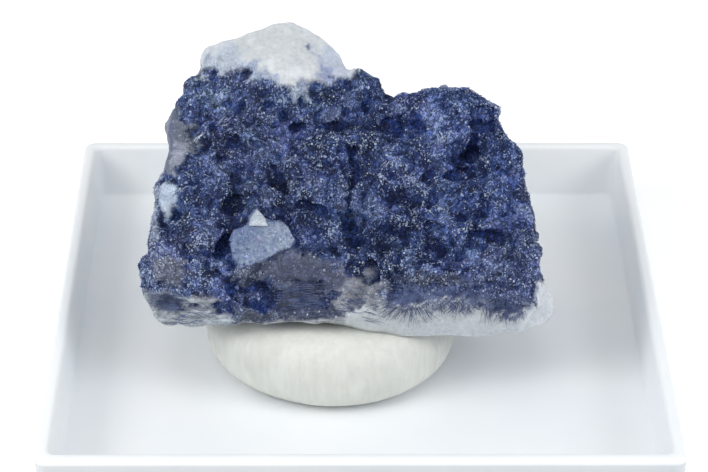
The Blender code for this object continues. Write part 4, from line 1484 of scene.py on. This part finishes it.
    def grow(self, strewing: Strewing, carrier: bpy.types.Object, names: dict[str, int]) -> list[bpy.types.Object]:
        """Grow one kind of crystal on a carrier.

        Args:
            strewing: What grows, and how.
            carrier: A finished piece, in metres, with its traits.
            names: The sector that each new piece grows on, by the piece's name.

        Returns:
            The new pieces.
        """
        shelf = self.forms(strewing)
        pieces = []
        for name, sector in names.items():
            mesh = self.tool.run(
                carrier, Spacing=strewing.spacing * MM, Crowding=self.crowding / MM ** 2,
                Smallest=strewing.smallest * MM, Largest=strewing.largest * MM, Least_Lean=strewing.least_lean,
                Most_Lean=strewing.most_lean, Sink=strewing.sink, Least_Tone=strewing.least_tone,
                Frost_Share=strewing.frost_share, Sector=sector, Seed=strewing.seed + sector, Forms=shelf,
                Form_Count=len(shelf.objects), Material=self.material,
            )
            pieces.append(set_piece(linked(name, mesh), "stone", "dumortierite_specimen"))
        discard(*list(shelf.objects))
        bpy.data.collections.remove(shelf)
        return pieces

    def build(self, stone: bpy.types.Object) -> list[bpy.types.Object]:
        """Grow the crust over the stone, one piece for each sector and kind of crystal."""
        pieces = []
        for strewing in (self.grains, self.slivers, self.glints):
            names = {f"{strewing.name}_{sector.name.lower()}": sector.value for sector in Sector}
            pieces += self.grow(strewing, stone, names)
        return pieces

    def dust(self, crystal: bpy.types.Object) -> list[bpy.types.Object]:
        """Grow fine grains over the face of a larger crystal."""
        return self.grow(self.dusting, crystal, {f"{crystal.name}_dust": Sector.FRONT_LEFT.value})


@dataclass(frozen=True)
class FacePlane:
    """A plane square to the stone's face, at a height above the face's middle in millimetres."""

    centre: tuple[float, float, float] = (-0.6, -1.4, 16.0)
    lean: float = math.radians(31.0)

    def out(self) -> Vector:
        """Return the direction out of the face."""
        return Vector((0.0, -math.cos(self.lean), math.sin(self.lean)))

    def place(self, spot: Spot, height: float) -> Vector:
        """Return the point at a height above the face that shows at a picture point."""
        start, way = CAMERA.ray(spot)
        level = Vector(self.centre) + height * self.out()
        return start + way * ((level - start).dot(self.out()) / way.dot(self.out()))


@dataclass
class FaceCrystal:
    """A larger crystal on the stone's face: its top seen in the picture, its height, and where its root ends."""

    name: str
    top: tuple[tuple[float, float, float], ...]
    root_depth: float
    spread: float
    bevel: float
    grain: float
    finish: PaleCrystal
    dustiness: float = 0.0
    rim_width: float = 5.0
    rim_tint: Colour = paint(70, 86, 130)
    plane: FacePlane = field(default_factory=FacePlane)

    def build(self) -> bpy.types.Object:
        """Build the crystal as the solid that its corners span, and dress it."""
        crown = [self.plane.place((x, y), height) for x, y, height in self.top]
        middle = sum(crown, Vector()) / len(crown)
        down = -self.root_depth * self.plane.out()
        root = [middle + self.spread * (point - middle) + down for point in crown]
        shape = bmesh.new()
        for point in crown + root:
            shape.verts.new(point)
        spanned = bmesh.ops.convex_hull(shape, input=shape.verts[:])
        inside = {item for item in spanned["geom_interior"] if isinstance(item, bmesh.types.BMVert)}
        bmesh.ops.delete(shape, geom=list(inside), context="VERTS")
        bmesh.ops.dissolve_limit(shape, angle_limit=math.radians(4.0), verts=shape.verts, edges=shape.edges)
        bmesh.ops.recalc_face_normals(shape, faces=shape.faces)
        mesh = bpy.data.meshes.new(self.name)
        shape.to_mesh(mesh)
        shape.free()
        crystal = linked(self.name, mesh)
        edges = crystal.modifiers.new("worn_edges", "BEVEL")
        edges.width, edges.segments, edges.limit_method = self.bevel, 2, "ANGLE"
        even = crystal.modifiers.new("even_skin", "REMESH")
        even.mode, even.voxel_size = "VOXEL", 0.07
        crystal.data = evaluated_mesh(crystal)
        crystal.modifiers.clear()
        places, normals = coordinates(crystal.data), directions(crystal.data)
        rise = self.grain * (noise_values(places, 0.9) + 0.5 * noise_values(places, 0.3, 4.0))
        move_vertices(crystal.data, MM * (places + normals * rise[:, None]))
        crystal.data.materials.clear()
        crystal.data.materials.append(self.finish.material())
        crystal.data.polygons.foreach_set("use_smooth", [True] * len(crystal.data.polygons))
        crystal.data.name = self.name
        self.write_traits(crystal.data)
        return set_piece(crystal, "stone", "dumortierite_specimen")

    def write_traits(self, mesh: bpy.types.Mesh) -> None:
        """Write on the crystal's skin what the fine grains that grow on it take from it."""
        places, normals = coordinates(mesh) / MM, directions(mesh)
        across = smooth_step(*self.finish.ends, places[:, 0] + noise_values(places, 0.8))[:, None]
        left, right = np.array(self.finish.left), np.array(self.finish.right)
        seen = smooth_step(-0.1, 0.1, CAMERA.facing(places, normals))
        outline = tuple((x, y) for x, y, _ in self.top)
        inner = depth_inside(CAMERA.spots(places), outline) + 3.0 * noise_values(places, 0.6, 6.0)
        rim = smooth_step(self.rim_width, 0.0, inner)[:, None]
        tint = left + (right - left) * across
        write_trait(mesh, Trait.TINT, tint + (np.array(self.rim_tint) - tint) * rim)
        dusted = np.maximum(smooth_step(-0.8, 0.3, noise_values(places, 0.9, 2.0)), rim[:, 0])
        write_trait(mesh, Trait.CRUST, self.dustiness * seen * dusted)
        write_trait(mesh, Trait.FROST, 0.8 * across[:, 0] * (1.0 - rim[:, 0]))
        for trait in (Trait.HOLLOW, Trait.RIDGE, Trait.SECTOR):
            write_trait(mesh, trait, np.zeros(len(places)))


@dataclass(frozen=True)
class Spray:
    """A tuft of needles on the stone, in picture points: they start round a spot and fan between two angles."""

    centre: Spot
    scatter: float
    angles: tuple[float, float]
    lengths: tuple[float, float]
    count: int
    bend: float = 0.25


SPRAYS = (
    Spray((412, 295), 4.0, (5.0, 185.0), (10.0, 38.0), 260),
    Spray((413, 290), 6.0, (0.0, 360.0), (4.0, 13.0), 170),
    Spray((402, 302), 7.0, (110.0, 190.0), (8.0, 24.0), 60),
    Spray((440, 295), 10.0, (40.0, 140.0), (6.0, 17.0), 220),
    Spray((470, 298), 12.0, (30.0, 150.0), (6.0, 16.0), 220),
    Spray((498, 303), 8.0, (30.0, 120.0), (8.0, 20.0), 130),
    Spray((513, 309), 6.0, (50.0, 180.0), (6.0, 15.0), 140),
    Spray((527, 300), 6.0, (20.0, 120.0), (4.0, 12.0), 80),
    Spray((350, 306), 10.0, (-12.0, 30.0), (10.0, 26.0), 24, 0.1),
    Spray((366, 297), 14.0, (-30.0, 60.0), (8.0, 22.0), 40),
    Spray((366, 318), 3.0, (8.0, 20.0), (14.0, 20.0), 4, 0.05),
    Spray((156, 300), 8.0, (-4.0, 20.0), (14.0, 32.0), 90, 0.05),
    Spray((168, 306), 6.0, (-6.0, 12.0), (10.0, 24.0), 34, 0.05),
    Spray((190, 312), 16.0, (-30.0, 30.0), (5.0, 14.0), 70),
    Spray((298, 296), 16.0, (-12.0, 10.0), (12.0, 34.0), 90, 0.08),
    Spray((300, 318), 22.0, (-8.0, 8.0), (12.0, 30.0), 40, 0.08),
    Spray((440, 281), 30.0, (-6.0, 6.0), (14.0, 30.0), 50, 0.05),
    Spray((300, 268), 26.0, (-25.0, 15.0), (8.0, 22.0), 60, 0.2),
    Spray((172, 270), 12.0, (40.0, 120.0), (6.0, 14.0), 16, 0.15),
)
# Pale fibres laid along bright strokes: their pale colour is partly their own and partly painted glints.
GLINT_THREADS = (
    Spray((222, 123), 4.0, (-45.0, 0.0), (5.0, 11.0), 10, 0.1),
    Spray((196, 139), 5.0, (-70.0, -30.0), (6.0, 12.0), 5, 0.1),
    Spray((444, 134), 5.0, (50.0, 110.0), (4.0, 9.0), 12),
    Spray((413, 178), 5.0, (0.0, 180.0), (4.0, 9.0), 12),
    Spray((389, 163), 3.0, (80.0, 140.0), (4.0, 8.0), 7),
    Spray((426, 190), 3.0, (0.0, 180.0), (3.0, 7.0), 6),
    Spray((480, 160), 4.0, (0.0, 50.0), (4.0, 9.0), 5, 0.1),
    Spray((424, 220), 20.0, (-60.0, 60.0), (3.0, 7.0), 30, 0.5),
    Spray((300, 160), 60.0, (0.0, 180.0), (2.5, 6.0), 30, 0.4),
    Spray((440, 180), 60.0, (0.0, 180.0), (2.5, 6.0), 30, 0.4),
    Spray((230, 200), 40.0, (0.0, 180.0), (2.5, 6.0), 20, 0.4),
)


@dataclass(frozen=True)
class NeedleInk:
    """Fine mineral needles with a silky gloss, between two shades."""

    name: str
    dark: Colour
    light: Colour

    def material(self) -> bpy.types.Material:
        """Return the finish as a material."""
        finish = Finish(self.name)
        wiring = finish.wiring
        patchy = wiring.grain(finish.where, 900.0, 3.0)
        finish.set(
            Base_Color=wiring.blend(wiring.span(patchy, 0.35, 0.65, 0.0, 1.0), self.dark, self.light),
            Roughness=wiring.span(patchy, 0.3, 0.7, 0.35, 0.55),
        )
        return finish.material


@dataclass
class NeedleTufts:
    """The fine dark-blue needles that fray out of the crust into the pale quartz."""

    name: str
    sprays: tuple[Spray, ...]
    finish: NeedleInk
    girth: float = 0.032
    steps: int = 5
    sides: int = 4
    seed: int = 5

    def spines(self, stone: bpy.types.Object) -> bpy.types.Object:
        """Lay the needles' middle lines on the stone.

        Args:
            stone: The finished stone, in metres.

        Returns:
            An object of edges, in metres, with each vertex's thickness written on it.
        """
        draw = np.random.default_rng(self.seed)
        tree = BVHTree.FromPolygons([vertex.co for vertex in stone.data.vertices], [p.vertices for p in stone.data.polygons])
        points, edges, girths = [], [], []
        for spray in self.sprays:
            for _ in range(spray.count):
                away = draw.uniform(-1.6, 1.6, 2) * (spray.scatter, 0.5 * spray.scatter)
                x, y = (float(value) for value in spray.centre + away)
                angle, length = math.radians(draw.uniform(*spray.angles)), draw.uniform(*spray.lengths)
                bend, thick = draw.uniform(-spray.bend, spray.bend), self.girth * draw.uniform(0.5, 1.2)
                chain = []
                for step in range(self.steps):
                    share = step / (self.steps - 1)
                    way = angle + bend * share
                    start, ahead = CAMERA.ray((x + length * share * math.cos(way), y + length * share * math.sin(way)))
                    hit, normal, _, _ = tree.ray_cast(MM * start, ahead)
                    if hit is None or (chain and (hit - chain[-1][0]).length > 0.0012):
                        break
                    chain.append((hit, thick * (1.0 - 0.75 * share)))
                if len(chain) < 3:
                    continue
                first = len(points)
                points.extend(hit for hit, _ in chain)
                girths.extend(MM * reach for _, reach in chain)
                edges.extend((first + k, first + k + 1) for k in range(len(chain) - 1))
        mesh = bpy.data.meshes.new("needle_spines")
        mesh.from_pydata(points, edges, [])
        layer = mesh.attributes.new("girth", "FLOAT", "POINT")
        layer.data.foreach_set("value", np.array(girths, dtype=np.float32))
        return linked("needle_spines", mesh)

    def sweep(self) -> NodeTool:
        """Return the tool that turns spines into tapered needles."""
        tool = NodeTool("needle_sweep", {"Sides": "NodeSocketInt", "Material": "NodeSocketMaterial"})
        wiring, given = tool.wiring, tool.given
        lines = wiring.node("GeometryNodeMeshToCurve", {"Mesh": given["Geometry"]}).outputs[0]
        girth = wiring.node("GeometryNodeInputNamedAttribute", {"Name": "girth"}, data_type="FLOAT").outputs["Attribute"]
        thick = wiring.node("GeometryNodeSetCurveRadius", {"Curve": lines, "Radius": girth}).outputs[0]
        section = wiring.node("GeometryNodeCurvePrimitiveCircle", {"Resolution": given["Sides"], "Radius": 1.0}, mode="RADIUS").outputs[0]
        swept = wiring.node("GeometryNodeCurveToMesh", {"Curve": thick, "Profile Curve": section, "Fill Caps": True})
        socket = swept.inputs.get("Scale")
        if socket is not None:
            radius = wiring.node("GeometryNodeInputRadius").outputs[0]
            wiring.feed(socket, radius)
        tool.end(swept.outputs[0])
        return tool

    def build(self, stone: bpy.types.Object) -> bpy.types.Object:
        """Build the needles on the stone and dress them."""
        spines = self.spines(stone)
        needles = linked(self.name, self.sweep().run(spines, Sides=self.sides, Material=self.finish.material()))
        discard(spines)
        return set_piece(needles, "stone", "dumortierite_specimen")


TABLET = FaceCrystal(
    name="tablet_crystal",
    top=(
        (230, 238, 5.45), (234, 231, 5.5), (247, 225, 5.45), (268, 224, 5.3), (280, 221, 5.2), (288, 227, 5.1),
        (294, 239, 5.0), (290, 247, 5.0), (278, 252, 5.15), (265, 259, 5.3), (253, 264, 5.4), (244, 266, 5.45),
        (238, 264, 5.5), (233, 257, 5.5), (231, 247, 5.5),
    ),
    root_depth=1.8, spread=1.02, bevel=0.22, grain=0.14, dustiness=1.0,
    finish=PaleCrystal("tablet_quartz", paint(94, 113, 149), paint(136, 149, 170), (-10.8, -5.8), 0.0,
                       grain_scale=3800.0, grain_depth=0.25),
)
POINT = FaceCrystal(
    name="pointed_crystal",
    top=(
        (249, 226, 5.8), (268, 226, 5.65), (265, 218, 5.2), (262, 214, 5.0), (257, 209, 4.6), (250, 218, 5.2),
        (257, 220, 5.95),
    ),
    root_depth=1.1, spread=0.96, bevel=0.03, grain=0.012,
    finish=PaleCrystal("point_quartz", paint(186, 199, 213), paint(210, 218, 226), (-9.0, -7.2), 0.2, grain_depth=0.1),
)


@dataclass
class Studio:
    """The pale floor, the soft boxes round it and the even light of the room."""

    floor_width: float = 3.0
    room_light: float = 0.54
    paper: StudioPaper = field(default_factory=StudioPaper)
    boxes: tuple[tuple[str, float, float, float, float, float], ...] = (
        ("left_softbox", -60.0, 38.0, 0.34, 0.15, 0.48),
        ("right_softbox", 62.0, 34.0, 0.34, 0.16, 0.37),
        ("top_softbox", -10.0, 80.0, 0.36, 0.20, 0.20),
    )

    def build_floor(self) -> bpy.types.Object:
        """Lay the floor just under the box base."""
        shape = bmesh.new()
        bmesh.ops.create_grid(shape, x_segments=1, y_segments=1, size=self.floor_width / 2)
        bmesh.ops.translate(shape, vec=(0.0, 0.0, -0.00002), verts=shape.verts)
        mesh = bpy.data.meshes.new("studio_floor")
        shape.to_mesh(mesh)
        shape.free()
        floor = linked("studio_floor", mesh)
        floor.data.materials.append(self.paper.material())
        return floor

    def build_light(self, name: str, turn: float, climb: float, away: float, width: float, power: float) -> None:
        """Hang one soft box.

        Args:
            name: Its name.
            turn: Degrees to the right of the camera's side.
            climb: Degrees above the floor.
            away: Distance from the stone in metres.
            width: Its width in metres.
            power: Its light in watts.
        """
        lamp = bpy.data.lights.new(name, "AREA")
        lamp.energy, lamp.size = power, width
        side, rise = math.radians(turn), math.radians(climb)
        out = Vector((math.sin(side) * math.cos(rise), -math.cos(side) * math.cos(rise), math.sin(rise)))
        hung = bpy.data.objects.new(name, lamp)
        bpy.context.scene.collection.objects.link(hung)
        hung.matrix_world = Matrix.Translation(away * out) @ out.to_track_quat("Z", "Y").to_matrix().to_4x4()

    def build(self) -> None:
        """Set up the floor, the lights and the room."""
        self.build_floor()
        for box in self.boxes:
            self.build_light(*box)
        scene = bpy.context.scene
        scene.world = bpy.data.worlds.new("studio_room")
        scene.world.use_nodes = True
        room = scene.world.node_tree.nodes["Background"]
        room.inputs["Color"].default_value = (0.95, 0.98, 1.0, 1.0)
        room.inputs["Strength"].default_value = self.room_light
        scene.view_settings.view_transform = "Standard"


def main() -> None:
    """Build the picture's pieces in order."""
    logging.basicConfig(level=logging.INFO, format="%(name)s: %(message)s")
    CAMERA.build()
    BoxBase().build()
    PuttyPad().build()
    stone = StoneBody().build()
    crust = DrusyCrust()
    crust.build(stone)
    crust.dust(TABLET.build())
    POINT.build()
    NeedleTufts("needle_tufts", SPRAYS, NeedleInk("needle_blue", paint(46, 60, 104), paint(98, 112, 150))).build(stone)
    # Pale fibres whose colour is partly painted glints.
    NeedleTufts(
        "pale_threads", GLINT_THREADS, NeedleInk("thread_pale", paint(160, 173, 197), paint(212, 220, 230)), girth=0.034
    ).build(stone)
    Studio().build()


if __name__ == "__main__":
    main()
